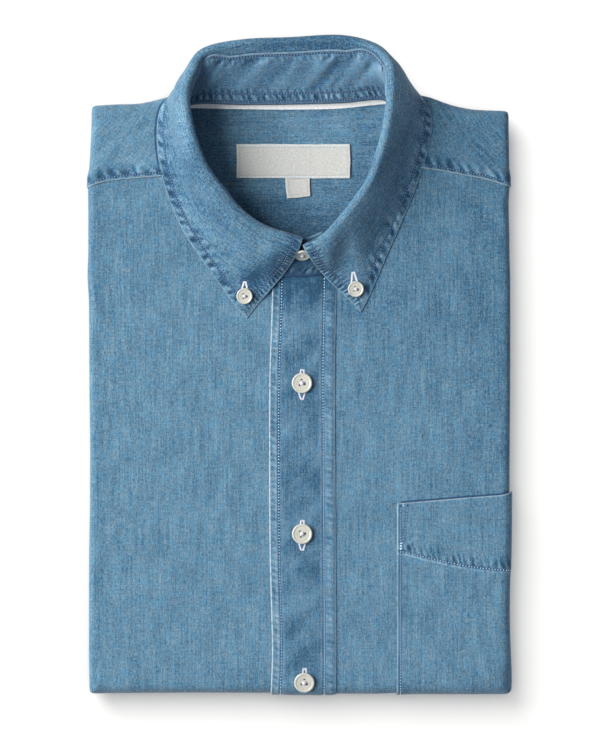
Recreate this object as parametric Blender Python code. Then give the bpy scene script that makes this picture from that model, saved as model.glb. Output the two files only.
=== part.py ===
"""A button-down denim shirt, buttoned, folded for a shelf and lying face up.

The collar points to +Y, the wearer's left side is at +X and the shirt rests on z = 0.
Every length in the tables is in millimetres, and MM turns it into metres.
"""
import math

import bmesh
import bpy
from mathutils import Vector
from mathutils.bvhtree import BVHTree

MM = 0.001

# ---- the folded shirt --------------------------------------------------------------------
MIDDLE_X = -0.9        # middle of the folded width
HALF_WIDTH = 126.4     # middle to either side fold
BOTTOM_Y = -195.7      # bottom fold
SHOULDER_Y = 168.0     # shoulder fold behind the collar
EDGE_ZONE = 30.0       # strip along each fold that curves down
SIDE_CLOTH = 43.0      # cloth from the start of that strip to its end, at the sides and shoulders
END_CLOTH = 57.0       # the same round the bottom fold
CORNER = 8.0           # exponent of the rounded corners: higher is squarer
CORNER_SHORT = 0.12    # share of the folded cloth that the corners go without

# ---- cloth -------------------------------------------------------------------------------
GAP = 0.3              # between one piece and the next
LAYER_GAP = 0.75       # between the fronts and the layers they wrap
CLOTH = 1.2            # a single panel
FALL_CLOTH = 1.5       # two layers and an interlining
STAND_CLOTH = 1.6
PLACKET_CLOTH = 1.3
POCKET_CLOTH = 1.0
LABEL_CLOTH = 0.6
NORMAL_STEP = 0.4      # distance over which the cloth's slope is read

# Front cloth round a fold: inset from the outline, height of the outer face.
SIDE_PROFILE = (
    (30.0, 22.0), (20.0, 21.9), (13.0, 21.4), (8.0, 20.4), (4.0, 18.7),
    (1.3, 16.6), (0.0, 14.3), (0.9, 12.2), (3.6, 11.0), (9.0, 10.8),
)
END_PROFILE = (
    (30.0, 22.0), (20.0, 21.8), (12.5, 20.8), (6.6, 18.2), (2.2, 14.6),
    (0.0, 10.6), (0.9, 6.7), (3.8, 3.6), (8.2, 2.1), (14.5, 1.7),
)
# Edges of the layers beneath: inset and height, from the front cloth's hem to the floor.
SIDE_LAYERS = (
    (6.0, 10.4), (3.4, 9.4), (2.6, 7.9), (3.4, 6.4),
    (5.8, 5.6), (3.8, 4.6), (3.0, 3.0), (4.2, 1.1), (8.0, 0.0),
)
END_LAYERS = (
    (15.3, 1.3), (15.6, 1.1), (15.9, 0.95), (16.3, 0.8),
    (16.8, 0.6), (17.3, 0.45), (18.0, 0.3), (18.9, 0.12), (20.0, 0.0),
)
SHOULDER_LAYERS = (
    (18.5, 10.2), (16.2, 9.2), (15.4, 7.7), (16.4, 6.2),
    (19.2, 5.5), (21.6, 4.6), (21.0, 3.0), (22.2, 1.1), (26.0, 0.0),
)
# Shoulder fold seen from above: x, y.
SHOULDER_LINE = (
    (-127.0, 157.2), (-111.0, 158.0), (-96.0, 158.6), (-80.0, 162.2), (-60.0, 166.8), (-20.0, 168.0),
    (30.0, 168.0), (58.0, 166.4), (78.0, 162.2), (91.0, 157.6), (104.0, 154.9), (126.0, 154.0),
)
SLOPE_FROM, SLOPE_TO = 40.0, 150.0     # y between which the cloth takes up the shoulder line
# Seam between yoke and fronts: x, y.
YOKE_SEAM = (
    (-127.0, 108.0), (-116.0, 111.4), (-104.8, 113.1), (-82.0, 114.9), (-60.0, 116.5),
    (50.0, 121.0), (75.0, 119.4), (90.0, 117.0), (108.0, 113.4), (125.0, 108.6),
)
# Soft swells of the top: x, y, width, length, height.
SWELLS = (
    (-72.0, 62.0, 38.0, 62.0, 0.7),
    (78.0, 40.0, 34.0, 70.0, 0.6),
    (-60.0, -78.0, 44.0, 58.0, 0.5),
    (70.0, -60.0, 40.0, 40.0, 0.5),
    (-98.0, 134.0, 22.0, 16.0, 0.5),
    (92.0, 136.0, 22.0, 14.0, 0.4),
    (0.0, -20.0, 30.0, 90.0, 0.4),
    (0.0, -150.0, 60.0, 30.0, 0.4),
)
NECK_RISE = 1.0        # how much the cloth lifts beside the collar
NECK_RISE_REACH = 16.0 # how far from the neck seam that dies away
NECK_MIDDLE = (-7.0, 106.0)
NECK_HALF = (65.0, 52.0)

# ---- collar ------------------------------------------------------------------------------
ON_BODY = None         # this part of the edge rests on the fronts or the yoke
# One row a section, from the wearer's right end round the back to the left end: the neck seam,
# the crest of the roll, the outer edge, how far the leaf bulges past a straight fall (degrees),
# and how steeply it comes down to its edge (degrees).
COLLAR = (
    # seam_x, seam_y, crest_x, crest_y, crest_z, edge_x, edge_y, edge_z, bulge, fall
    (0.0, 55.4, 1.6, 77.0, 38.2, -31.7, 29.2, ON_BODY, 10.0, 5.0),
    (-11.0, 55.6, -8.8, 80.2, 39.0, -38.5, 36.9, ON_BODY, 14.0, 5.0),
    (-24.5, 57.8, -21.8, 85.0, 40.0, -48.4, 50.4, ON_BODY, 18.0, 5.0),
    (-38.0, 62.9, -34.6, 94.0, 41.5, -58.0, 63.6, ON_BODY, 20.0, 6.0),
    (-50.5, 71.8, -44.3, 106.0, 43.5, -69.2, 80.7, ON_BODY, 22.0, 7.0),
    (-60.8, 85.0, -54.5, 119.6, 45.5, -78.0, 99.8, ON_BODY, 24.0, 8.0),
    (-67.4, 101.0, -61.6, 135.4, 47.5, -84.0, 121.0, ON_BODY, 26.0, 10.0),
    (-70.8, 118.0, -66.4, 152.6, 48.5, -85.8, 142.0, ON_BODY, 28.0, 20.0),
    (-71.8, 134.0, -67.5, 166.4, 48.0, -83.0, 157.0, ON_BODY, 28.0, 38.0),
    (-71.0, 148.0, -64.4, 178.4, 45.0, -73.8, 167.2, 14.0, 12.0, 66.0),
    (-65.0, 157.6, -54.6, 188.4, 42.0, -57.6, 168.6, 8.0, 10.0, 62.0),
    (-33.0, 158.0, -33.0, 195.0, 38.8, -33.0, 171.0, 6.0, 10.0, 55.0),
    (-4.6, 158.2, -4.6, 196.4, 37.8, -4.7, 171.5, 6.0, 10.0, 55.0),
    (24.0, 158.8, 24.2, 197.6, 38.8, 21.3, 171.0, 6.0, 10.0, 55.0),
    (50.5, 159.2, 43.0, 192.8, 41.3, 45.6, 169.2, 8.0, 10.0, 62.0),
    (57.6, 150.0, 51.8, 184.0, 44.2, 62.0, 167.4, 14.0, 12.0, 66.0),
    (58.8, 136.0, 53.8, 171.4, 47.0, 74.5, 158.4, ON_BODY, 30.0, 38.0),
    (58.0, 121.0, 53.1, 157.6, 48.3, 79.5, 147.4, ON_BODY, 30.0, 20.0),
    (55.2, 106.0, 50.6, 142.6, 48.3, 75.9, 127.0, ON_BODY, 28.0, 10.0),
    (50.4, 91.0, 45.8, 126.0, 47.3, 69.0, 106.1, ON_BODY, 26.0, 8.0),
    (42.8, 77.6, 39.9, 111.4, 45.8, 60.0, 84.5, ON_BODY, 24.0, 7.0),
    (33.2, 66.8, 31.5, 99.1, 43.8, 52.5, 67.8, ON_BODY, 22.0, 6.0),
    (22.8, 58.6, 22.7, 87.9, 41.8, 45.6, 51.6, ON_BODY, 18.0, 5.0),
    (12.0, 53.0, 14.1, 79.0, 40.4, 40.8, 40.8, ON_BODY, 14.0, 5.0),
    (1.0, 50.2, 2.0, 72.5, 39.0, 36.5, 33.2, ON_BODY, 10.0, 5.0),
)
SEAM_X, SEAM_Y, CREST_X, CREST_Y, CREST_Z, EDGE_X, EDGE_Y, EDGE_Z, BULGE, FALL = range(10)
FOOT_GAP = 0.4         # between the stand's foot and the cloth it is sewn to
EDGE_GAP = 0.5         # between the leaf's edge and the cloth it rests on
LEAF_REACH = 0.35      # how far the leaf keeps its direction at either end, as a share of its fall
ROLL_PARTS, LEAF_PARTS, STAND_PARTS = 4, 6, 3      # facets across the roll, the leaf and the stand
ROLL_RADIUS = 3.1      # outer face of the fall where it turns over its crest
SEWN_FRONT = 1.2       # flat cloth between the stand's top and the roll, at the front and sides
SEWN_BACK = 4.6        # the same behind the neck
BACK_FROM, BACK_TO = 165.0, 185.0      # crest y between which that changes
BACK_HALF, BACK_END = 34.0, 50.0       # and how far from the neck's middle it reaches
COLLAR_STEPS = 52      # sections of the solids
STAND_CLEAR = 0.45     # between the stand's top and the fall, whose walls lean differently
# Lapped ends of the stand: foot x, y and top x, y, z.
STAND_END_RIGHT = (12.6, 58.8, 13.4, 80.6, 33.0)
STAND_END_LEFT = (-11.5, 50.3, -9.8, 68.4, 33.2)

# ---- neck hollow -------------------------------------------------------------------------
FLOOR_Z = 18.6         # face of the inner yoke
FLOOR_DIP = 0.5
FLOOR_CLEAR = 0.5      # between the inner yoke's edge and the neck seam
CUTTER_CLEAR = 0.1
CUTTER_TOP = 30.0
LABEL_BOX = (-37.7, 113.7, 30.1, 134.3)     # low x, low y, high x, high y
SIZE_TAB_BOX = (-8.6, 101.4, 5.8, 113.4)
TAPE_LINE = ((-64.0, 156.7), (-33.0, 157.0), (-4.6, 157.2), (24.0, 157.8), (49.0, 158.2))
TAPE_WIDTH = 3.0

# ---- placket, pocket, buttons ------------------------------------------------------------
PLACKET_EDGES = (-17.4, 21.6)
PLACKET_TOP = 49.4
PANEL_SPLIT = 9.0      # where the fronts meet under the placket
POCKET_LEFT = 58.6
POCKET_TOP_LEFT = -82.0
POCKET_TOP_RIGHT = -76.4
POCKET_END = 0.75      # share of the side fold that the pocket goes round
RAISED_END = 0.95      # share of the bottom fold that placket and pocket go round
FRONT_BUTTONS = ((1.3, -9.5), (1.4, -99.8), (2.7, -188.6))
COLLAR_BUTTONS = {"button_collar_right": (-33.1, 42.7), "button_collar_left": (33.5, 47.0)}
STAND_BUTTON = (0.5, 64.9)
FRONT_BUTTON_RADIUS = 6.1
COLLAR_BUTTON_RADIUS = 4.8
STAND_BUTTON_RADIUS = 4.5
# A turned button: share of the radius, height as a share of the thickness.
BUTTON_PROFILE = (
    (0.0, 0.55), (0.5, 0.58), (0.62, 0.74), (0.78, 1.0), (0.94, 0.9), (1.0, 0.55), (0.9, 0.1), (0.7, 0.0),
)
BUTTON_THICKNESS = 2.3
BUTTON_SIDES = 18
DROP_HEIGHT = 100.0    # buttons are dropped onto the cloth from here
BUTTON_GAP = 0.45      # above the cloth, so that a flat button clears its curve
HOLE_RADIUS = 0.75
HOLE_CIRCLE = 2.1
HOLE_SIDES = 6
HOLE_DEPTH = 8.0       # longer than the button is thick

DENIM = (0.135, 0.262, 0.371)
DENIM_SHADED = (0.105, 0.215, 0.315)
IVORY = (0.60, 0.59, 0.52)
WOVEN_WHITE = (0.58, 0.59, 0.58)
CLOTH_ROUGHNESS = 0.85
BUTTON_ROUGHNESS = 0.35
SHARP_ANGLE = 50.0     # degrees between two faces that don't shade into each other


# ---- numbers -----------------------------------------------------------------------------
def blend(low, high, share):
    return low + (high - low) * share


def ease(value, start, end):
    """0 before start, 1 after end, and smooth between."""
    share = min(max((value - start) / (end - start), 0.0), 1.0)
    return share * share * (3.0 - 2.0 * share)


def smooth_row(rows, at):
    """A row read at a fractional index, on a smooth curve through all the rows."""
    last = len(rows) - 1
    at = min(max(at, 0.0), last)
    first = min(int(at), last - 1)
    t = at - first
    four = [rows[min(max(first + k, 0), last)] for k in (-1, 0, 1, 2)]
    smooth = []
    for p, q, r, s in zip(*four):
        bend = (2.0 * p - 5.0 * q + 4.0 * r - s) * t * t + (3.0 * (q - r) + s - p) * t ** 3
        smooth.append(0.5 * (2.0 * q + (r - p) * t + bend))
    return smooth


def lengths(rows):
    """Distance along the rows' points, from the first one."""
    total = [0.0]
    for one, two in zip(rows, rows[1:]):
        total.append(total[-1] + math.dist(one, two))
    return total


def along(rows, share):
    """A point at a share of the length of a smooth curve through the rows."""
    total = lengths(rows)
    goal = min(max(share, 0.0), 1.0) * total[-1]
    for k in range(len(rows) - 1):
        if goal <= total[k + 1]:
            return smooth_row(rows, k + (goal - total[k]) / (total[k + 1] - total[k]))
    return list(rows[-1])


def line_y(rows, x):
    """y at x on a smooth line through (x, y) rows sorted by x."""
    for k in range(len(rows) - 1):
        if x <= rows[k + 1][0]:
            share = min(max((x - rows[k][0]) / (rows[k + 1][0] - rows[k][0]), 0.0), 1.0)
            return smooth_row(rows, k + share)[1]
    return rows[-1][1]


# ---- the folded shirt's outer surface ----------------------------------------------------
def swell(x, y):
    """How far the top surface stands above its flat height."""
    height = 0.0
    for at_x, at_y, wide, long, high in SWELLS:
        height += high * math.exp(-((x - at_x) / wide) ** 2 - ((y - at_y) / long) ** 2)
    ring = math.hypot((x - NECK_MIDDLE[0]) / NECK_HALF[0], (y - NECK_MIDDLE[1]) / NECK_HALF[1])
    from_ring = (ring - 1.0) * NECK_HALF[1]
    return height + NECK_RISE * math.exp(-(from_ring / NECK_RISE_REACH) ** 2)


def past(value, low, high, cloth_low, cloth_high):
    """Split a cloth coordinate into its place on the flat top and its share round a fold."""
    if value < low:
        return low, -(low - value) / cloth_low
    if value > high:
        return high, (value - high) / cloth_high
    return value, 0.0


def fold_weights(round_x, round_y):
    """How much the bottom fold and the shoulder fold shape this place, from 0 to 1."""
    angle = math.atan2(abs(round_y), abs(round_x)) / (math.pi / 2.0) if round_y else 0.0
    weight = ease(angle, 0.12, 0.88)
    return (weight, 0.0) if round_y < 0.0 else (0.0, weight)


def place(across, along_y, profile):
    """A point for cloth coordinates; profile(share, weights) says how the cloth goes round a fold."""
    flat_half = HALF_WIDTH - EDGE_ZONE
    flat_x, round_x = past(across, -flat_half, flat_half, SIDE_CLOTH, SIDE_CLOTH)
    flat_y, round_y = past(along_y, BOTTOM_Y + EDGE_ZONE, SHOULDER_Y - EDGE_ZONE, END_CLOTH, SIDE_CLOTH)
    share = max(abs(round_x), abs(round_y))
    inset, height = profile(share, fold_weights(round_x, round_y))
    norm = (abs(round_x) ** CORNER + abs(round_y) ** CORNER) ** (1.0 / CORNER) if share else 1.0
    x = MIDDLE_X + flat_x + round_x / norm * (EDGE_ZONE - inset)
    y = flat_y + round_y / norm * (EDGE_ZONE - inset)
    dropped = line_y(SHOULDER_LINE, x) - SHOULDER_Y
    return Vector((x, y + dropped * ease(y, SLOPE_FROM, SLOPE_TO), height))


def front_profile(share, weights):
    """Inset and height of the front cloth's outer face at a share of the way round a fold."""
    corner = 4.0 * max(weight * (1.0 - weight) for weight in weights)
    share *= 1.0 - CORNER_SHORT * corner
    side = along(SIDE_PROFILE, share)
    end = along(END_PROFILE, share)
    return [blend(one, two, weights[0]) for one, two in zip(side, end)]


def front_point(across, along_y):
    """A point of the front cloth's outer face."""
    point = place(across, along_y, front_profile)
    flat_half = HALF_WIDTH - EDGE_ZONE
    round_x = max(0.0, abs(across) - flat_half) / SIDE_CLOTH
    round_y = max(0.0, BOTTOM_Y + EDGE_ZONE - along_y) / END_CLOTH
    round_y = max(round_y, (along_y - SHOULDER_Y + EDGE_ZONE) / SIDE_CLOTH)
    point.z += swell(point.x, point.y) * (1.0 - ease(max(round_x, round_y), 0.0, 0.7))
    return point


def front_normal(across, along_y):
    """Outward direction of the front cloth; at the hem it is read just inside the cloth."""
    step = NORMAL_STEP
    side = HALF_WIDTH - EDGE_ZONE + SIDE_CLOTH - 2.0 * step
    across = min(max(across, -side), side)
    bottom = BOTTOM_Y + EDGE_ZONE - END_CLOTH + 2.0 * step
    along_y = min(max(along_y, bottom), SHOULDER_Y - EDGE_ZONE + SIDE_CLOTH - 2.0 * step)
    over_x = front_point(across + step, along_y) - front_point(across - step, along_y)
    over_y = front_point(across, along_y + step) - front_point(across, along_y - step)
    return over_x.cross(over_y).normalized()


def cloth_y(across, y):
    """The cloth coordinate whose point lies at this y."""
    low = BOTTOM_Y + EDGE_ZONE
    high = SHOULDER_Y - EDGE_ZONE + SIDE_CLOTH * 0.7
    for _ in range(24):
        middle = (low + high) / 2.0
        if front_point(across, middle).y < y:
            low = middle
        else:
            high = middle
    return low


def height_at(x, y):
    """Height of the fronts' and yoke's outer face, seen from above."""
    across = x - MIDDLE_X
    return front_point(across, cloth_y(across, y)).z


# ---- collar sections ---------------------------------------------------------------------
def collar_rows():
    """The collar table with the edges that rest on the body set at their height."""
    rows = []
    for row in COLLAR:
        full = list(row)
        if row[EDGE_Z] is ON_BODY:
            full[EDGE_Z] = height_at(row[EDGE_X], row[EDGE_Y]) + EDGE_GAP + FALL_CLOTH
        rows.append(full)
    return rows


def bezier(points, t):
    a, b, c, d = points
    s = 1.0 - t
    return a * (s * s * s) + b * (3.0 * s * s * t) + c * (3.0 * s * t * t) + d * (t * t * t)


def collar_section(rows, at):
    """A collar section: its row, the way the stand points at its top, and the way the leaf leaves."""
    row = smooth_row(rows, at)
    before = smooth_row(rows, at - 0.1)
    after = smooth_row(rows, at + 0.1)
    crest = Vector(row[CREST_X:CREST_Z + 1])
    run = (Vector(after[CREST_X:CREST_Z + 1]) - Vector(before[CREST_X:CREST_Z + 1])).normalized()
    seam = Vector((row[SEAM_X], row[SEAM_Y], height_at(row[SEAM_X], row[SEAM_Y]) + FOOT_GAP))
    edge = Vector(row[EDGE_X:EDGE_Z + 1])
    up = crest - seam
    up = (up - run * up.dot(run)).normalized()
    fall = edge - crest
    fall = (fall - run * fall.dot(run)).normalized()
    return row, seam, crest, edge, up, fall


def roll_frame(crest, up, fall):
    """Centre of the roll and the direction from the stand's side of it to the leaf's side."""
    across = (fall - up * fall.dot(up)).normalized()
    return crest - up * ROLL_RADIUS, across


def stand_top(row, crest, up, fall):
    """Where the fall is sewn to the stand."""
    centre, across = roll_frame(crest, up, fall)
    behind = ease(row[CREST_Y], BACK_FROM, BACK_TO)
    behind *= 1.0 - ease(abs(row[CREST_X] - NECK_MIDDLE[0]), BACK_HALF, BACK_END)
    sewn = blend(SEWN_FRONT, SEWN_BACK, behind)
    return centre - across * ROLL_RADIUS - up * sewn


def fall_section(rows, at, count_roll, count_leaf):
    """Points of the fall's outer face, from the stand's top over the roll to the edge."""
    row, _seam, crest, edge, up, fall = collar_section(rows, at)
    centre, across = roll_frame(crest, up, fall)
    turn = up.angle(fall) - math.radians(row[BULGE])
    points = [stand_top(row, crest, up, fall)]
    for k in range(count_roll + 1):
        angle = turn * k / count_roll
        points.append(centre + (up * math.sin(angle) - across * math.cos(angle)) * ROLL_RADIUS)
    leave = up * math.cos(turn) + across * math.sin(turn)
    level = Vector((edge.x - crest.x, edge.y - crest.y, 0.0)).normalized()
    down = math.radians(row[FALL])
    arrive = level * math.cos(down) - Vector((0.0, 0.0, math.sin(down)))
    reach = (edge - points[-1]).length * LEAF_REACH
    leaf = (points[-1], points[-1] + leave * reach, edge - arrive * reach, edge)
    return points + [bezier(leaf, k / count_leaf) for k in range(1, count_leaf + 1)]


def stand_section(rows, at, count):
    """Points of the stand's side that faces the neck, from the neck seam up to the fall."""
    row, seam, crest, _edge, up, fall = collar_section(rows, at)
    _centre, across = roll_frame(crest, up, fall)
    seam.z += STAND_CLOTH * max(0.0, -across.z)
    top = stand_top(row, crest, up, fall) - up * STAND_CLEAR
    return [seam.lerp(top, k / count) for k in range(count + 1)]


# ---- meshes ------------------------------------------------------------------------------
def material(name, colour, roughness):
    made = bpy.data.materials.new(name)
    made.use_nodes = True
    shader = made.node_tree.nodes["Principled BSDF"]
    shader.inputs["Base Color"].default_value = (*colour, 1.0)
    shader.inputs["Roughness"].default_value = roughness
    shader.inputs["Metallic"].default_value = 0.0
    return made


def add_object(name, shape, colour, roughness=CLOTH_ROUGHNESS):
    """Turn a mesh in millimetres into an object with its own material."""
    bmesh.ops.recalc_face_normals(shape, faces=shape.faces)
    bmesh.ops.scale(shape, vec=(MM, MM, MM), verts=shape.verts)
    mesh = bpy.data.meshes.new(name)
    shape.to_mesh(mesh)
    shape.free()
    mesh.shade_smooth()
    mesh.set_sharp_from_angle(angle=math.radians(SHARP_ANGLE))
    mesh.materials.append(material(name, colour, roughness))
    made = bpy.data.objects.new(name, mesh)
    bpy.context.scene.collection.objects.link(made)
    return made


def grid_normals(grid):
    """Normals of a grid of points, pointing to its outer side."""
    last_row = len(grid) - 1
    last_column = len(grid[0]) - 1
    normals = []
    for i, line in enumerate(grid):
        normals.append([])
        for j in range(len(line)):
            one = grid[min(i + 1, last_row)][j] - grid[max(i - 1, 0)][j]
            two = grid[i][min(j + 1, last_column)] - grid[i][max(j - 1, 0)]
            normals[-1].append(one.cross(two).normalized())
    return normals


def turn_diagonal(points, cell, counts):
    """Whether a cell splits from its second corner: through the grid's corner, or the shorter way."""
    low = [at == 0 for at in cell]
    high = [at == count - 2 for at, count in zip(cell, counts)]
    if (low[0] or high[0]) and (low[1] or high[1]):
        return low[0] != low[1]
    return (points[0] - points[2]).length > (points[1] - points[3]).length


def wall(outer, thickness, normals=None):
    """A closed wall whose outer face is the grid; both faces split their cells along one diagonal."""
    normals = normals or grid_normals(outer)
    shape = bmesh.new()
    faces = []
    for depth in (0.0, thickness):
        layer = []
        for line, line_normals in zip(outer, normals):
            layer.append([shape.verts.new(p - n * depth) for p, n in zip(line, line_normals)])
        faces.append(layer)
    rows = len(outer)
    columns = len(outer[0])
    for i in range(rows - 1):
        for j in range(columns - 1):
            cell = [(i, j), (i + 1, j), (i + 1, j + 1), (i, j + 1)]
            if turn_diagonal([outer[k][m] for k, m in cell], (i, j), (rows, columns)):
                cell = cell[1:] + cell[:1]
            for corners in (cell[:3], [cell[0], cell[2], cell[3]]):
                shape.faces.new([faces[0][k][m] for k, m in corners])
                shape.faces.new([faces[1][k][m] for k, m in reversed(corners)])
    rim = [(i, 0) for i in range(rows)] + [(rows - 1, j) for j in range(1, columns)]
    rim += [(i, columns - 1) for i in range(rows - 2, -1, -1)]
    rim += [(0, j) for j in range(columns - 2, 0, -1)]
    for (i, j), (k, m) in zip(rim, rim[1:] + rim[:1]):
        shape.faces.new([faces[0][k][m], faces[0][i][j], faces[1][i][j], faces[1][k][m]])
    return shape


def spread(start, end, count):
    return [blend(start, end, k / count) for k in range(count + 1)]


# ---- panels ------------------------------------------------------------------------------
FLAT_HALF = HALF_WIDTH - EDGE_ZONE
SIDE_STEPS = (1.0, 0.88, 0.78, 0.69, 0.6, 0.5, 0.38, 0.22)
NECK_COLUMNS_RIGHT = (-80.0, -72.5, -70.6, -69.0, -66.0, -62.0, -56.0, -47.0, -36.0, -24.0, -12.0, 0.0)
NECK_COLUMNS_LEFT = (20.0, 30.0, 40.0, 48.0, 53.0, 56.6, 58.6, 60.4, 68.0, 80.0)
YOKE_COLUMNS = (
    -84.0, -73.6, -70.9, -69.6, -67.6, -65.0, -56.0, -33.0, -5.0,
    24.0, 44.0, 51.0, 54.0, 56.0, 57.5, 60.0, 72.0,
)
YOKE_FLAT_ROW = 12.0   # last row before the shoulder fold
ROW_APART = 0.6        # least distance between two rows of the yoke


def round_steps(cloth):
    """Cloth distances past the flat top at which a fold's columns lie, outermost first."""
    return [cloth * step for step in SIDE_STEPS]


def ring_rows(first, last):
    """Neck seam points between two sections, sorted by x."""
    return sorted((row[SEAM_X], row[SEAM_Y]) for row in COLLAR[first:last + 1])


NECK_FRONT_RIGHT = ring_rows(0, 8)
NECK_FRONT_LEFT = ring_rows(16, 24)
NECK_BACK = ring_rows(9, 15)


def front_top(x):
    """y where a front ends: at the yoke seam, or at the neck."""
    seam = line_y(YOKE_SEAM, x)
    if NECK_FRONT_RIGHT[0][0] < x <= NECK_FRONT_RIGHT[-1][0]:
        return min(seam, line_y(NECK_FRONT_RIGHT, x))
    if NECK_FRONT_LEFT[0][0] < x < NECK_FRONT_LEFT[-1][0]:
        return min(seam, line_y(NECK_FRONT_LEFT, x))
    return seam


def cloth_wall(columns, rows_at, thickness, raise_by=0.0):
    """A wall that follows the front cloth, or lies on it when it is raised."""
    points = []
    normals = []
    for across in columns:
        normals.append([front_normal(across, row) for row in rows_at(across)])
        line = [front_point(across, row) for row in rows_at(across)]
        points.append([p + n * raise_by for p, n in zip(line, normals[-1])])
    return wall(points, thickness, normals)


def front_rows(across):
    """Cloth coordinates up a front, from the bottom fold's hem to the yoke seam or the neck."""
    bottom = [BOTTOM_Y + EDGE_ZONE - step for step in round_steps(END_CLOTH)]
    top = cloth_y(across, front_top(MIDDLE_X + across))
    return bottom + spread(BOTTOM_Y + EDGE_ZONE, top, 9)


def make_fronts():
    right = [-FLAT_HALF - step for step in round_steps(SIDE_CLOTH)] + [-FLAT_HALF]
    right += [x - MIDDLE_X for x in NECK_COLUMNS_RIGHT] + [PANEL_SPLIT]
    left = [PANEL_SPLIT + GAP] + [x - MIDDLE_X for x in NECK_COLUMNS_LEFT] + [FLAT_HALF]
    left += [FLAT_HALF + step for step in reversed(round_steps(SIDE_CLOTH))]
    add_object("front_right", cloth_wall(right, front_rows, CLOTH), DENIM)
    add_object("front_left", cloth_wall(left, front_rows, CLOTH), DENIM)


def yoke_low(x):
    """y where the yoke starts: just past the yoke seam, or behind the neck."""
    seam = line_y(YOKE_SEAM, x) + 2.0 * GAP
    if NECK_BACK[0][0] < x < NECK_BACK[-1][0]:
        return max(seam, line_y(NECK_BACK, x))
    return seam


def make_yoke():
    columns = [-FLAT_HALF - step for step in round_steps(SIDE_CLOTH)] + [-FLAT_HALF]
    columns += [x - MIDDLE_X for x in YOKE_COLUMNS] + [FLAT_HALF]
    columns += [FLAT_HALF + step for step in reversed(round_steps(SIDE_CLOTH))]
    flat_end = SHOULDER_Y - EDGE_ZONE
    fold = [flat_end - YOKE_FLAT_ROW, flat_end]
    fold += [flat_end + step for step in reversed(round_steps(SIDE_CLOTH))]

    def rows_at(across):
        low = cloth_y(across, yoke_low(MIDDLE_X + across))
        return [low] + [max(row, low + ROW_APART * (k + 1)) for k, row in enumerate(fold)]

    add_object("yoke", cloth_wall(columns, rows_at, CLOTH), DENIM)


def raised_hem():
    """Rows round the bottom fold of a piece that lies on the fronts, in line with theirs."""
    return [BOTTOM_Y + EDGE_ZONE - END_CLOTH * step for step in (RAISED_END,) + SIDE_STEPS[1:]]


def make_placket():
    low, high = (x - MIDDLE_X for x in PLACKET_EDGES)
    columns = (low, low + 10.0, 0.5 * (low + high), high - 10.0, high)

    def rows_at(across):
        return raised_hem() + spread(BOTTOM_Y + EDGE_ZONE, cloth_y(across, PLACKET_TOP), 8)

    add_object("placket", cloth_wall(columns, rows_at, PLACKET_CLOTH, GAP + PLACKET_CLOTH), DENIM)


def make_pocket():
    low = POCKET_LEFT - MIDDLE_X
    columns = [low, low + 12.0, low + 26.0, FLAT_HALF]
    columns += [FLAT_HALF + SIDE_CLOTH * step for step in SIDE_STEPS[:2:-1] + (POCKET_END,)]

    def rows_at(across):
        share = min(max((across - low) / (HALF_WIDTH - low), 0.0), 1.0)
        top = blend(POCKET_TOP_LEFT, POCKET_TOP_RIGHT, share)
        return raised_hem() + spread(BOTTOM_Y + EDGE_ZONE, top, 5)

    add_object("pocket", cloth_wall(columns, rows_at, POCKET_CLOTH, GAP + POCKET_CLOTH), DENIM)


# ---- hidden layers -----------------------------------------------------------------------
LAYER_STEPS = (0.1, 0.22, 0.38, 0.5, 0.6, 0.69, 0.78, 0.88, 0.985)     # rings under the fronts
SLOPE_SHARE = 0.01     # share of a fold over which its slope is read


def layers_profile(step):
    """Profile function of one ring of the hidden layers, and how many rings there are."""
    inner = LAYER_STEPS

    def front_offset(share, weights):
        before = front_profile(share - SLOPE_SHARE, weights)
        after = front_profile(share + SLOPE_SHARE, weights)
        along_x = -(after[0] - before[0])
        along_z = after[1] - before[1]
        length = math.hypot(along_x, along_z) or 1.0
        inset, height = front_profile(share, weights)
        away = CLOTH + LAYER_GAP
        return inset - along_z / length * away, height - along_x / length * away

    def profile(_share, weights):
        if step < len(inner):
            return front_offset(inner[step], weights)
        if step == len(inner):
            inset, height = front_offset(inner[-1], weights)
            hem = front_profile(1.0, weights)
            return hem[0] + LAYER_GAP, height
        if step == len(inner) + 1:
            hem = front_profile(1.0, weights)
            return hem[0] + LAYER_GAP, hem[1] - GAP
        row = step - len(inner) - 2
        side = SIDE_LAYERS[row]
        end = END_LAYERS[row]
        shoulder = SHOULDER_LAYERS[row]
        return [blend(blend(s, e, weights[0]), t, weights[1]) for s, e, t in zip(side, end, shoulder)]

    return profile, len(inner) + 2 + len(SIDE_LAYERS)


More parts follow.
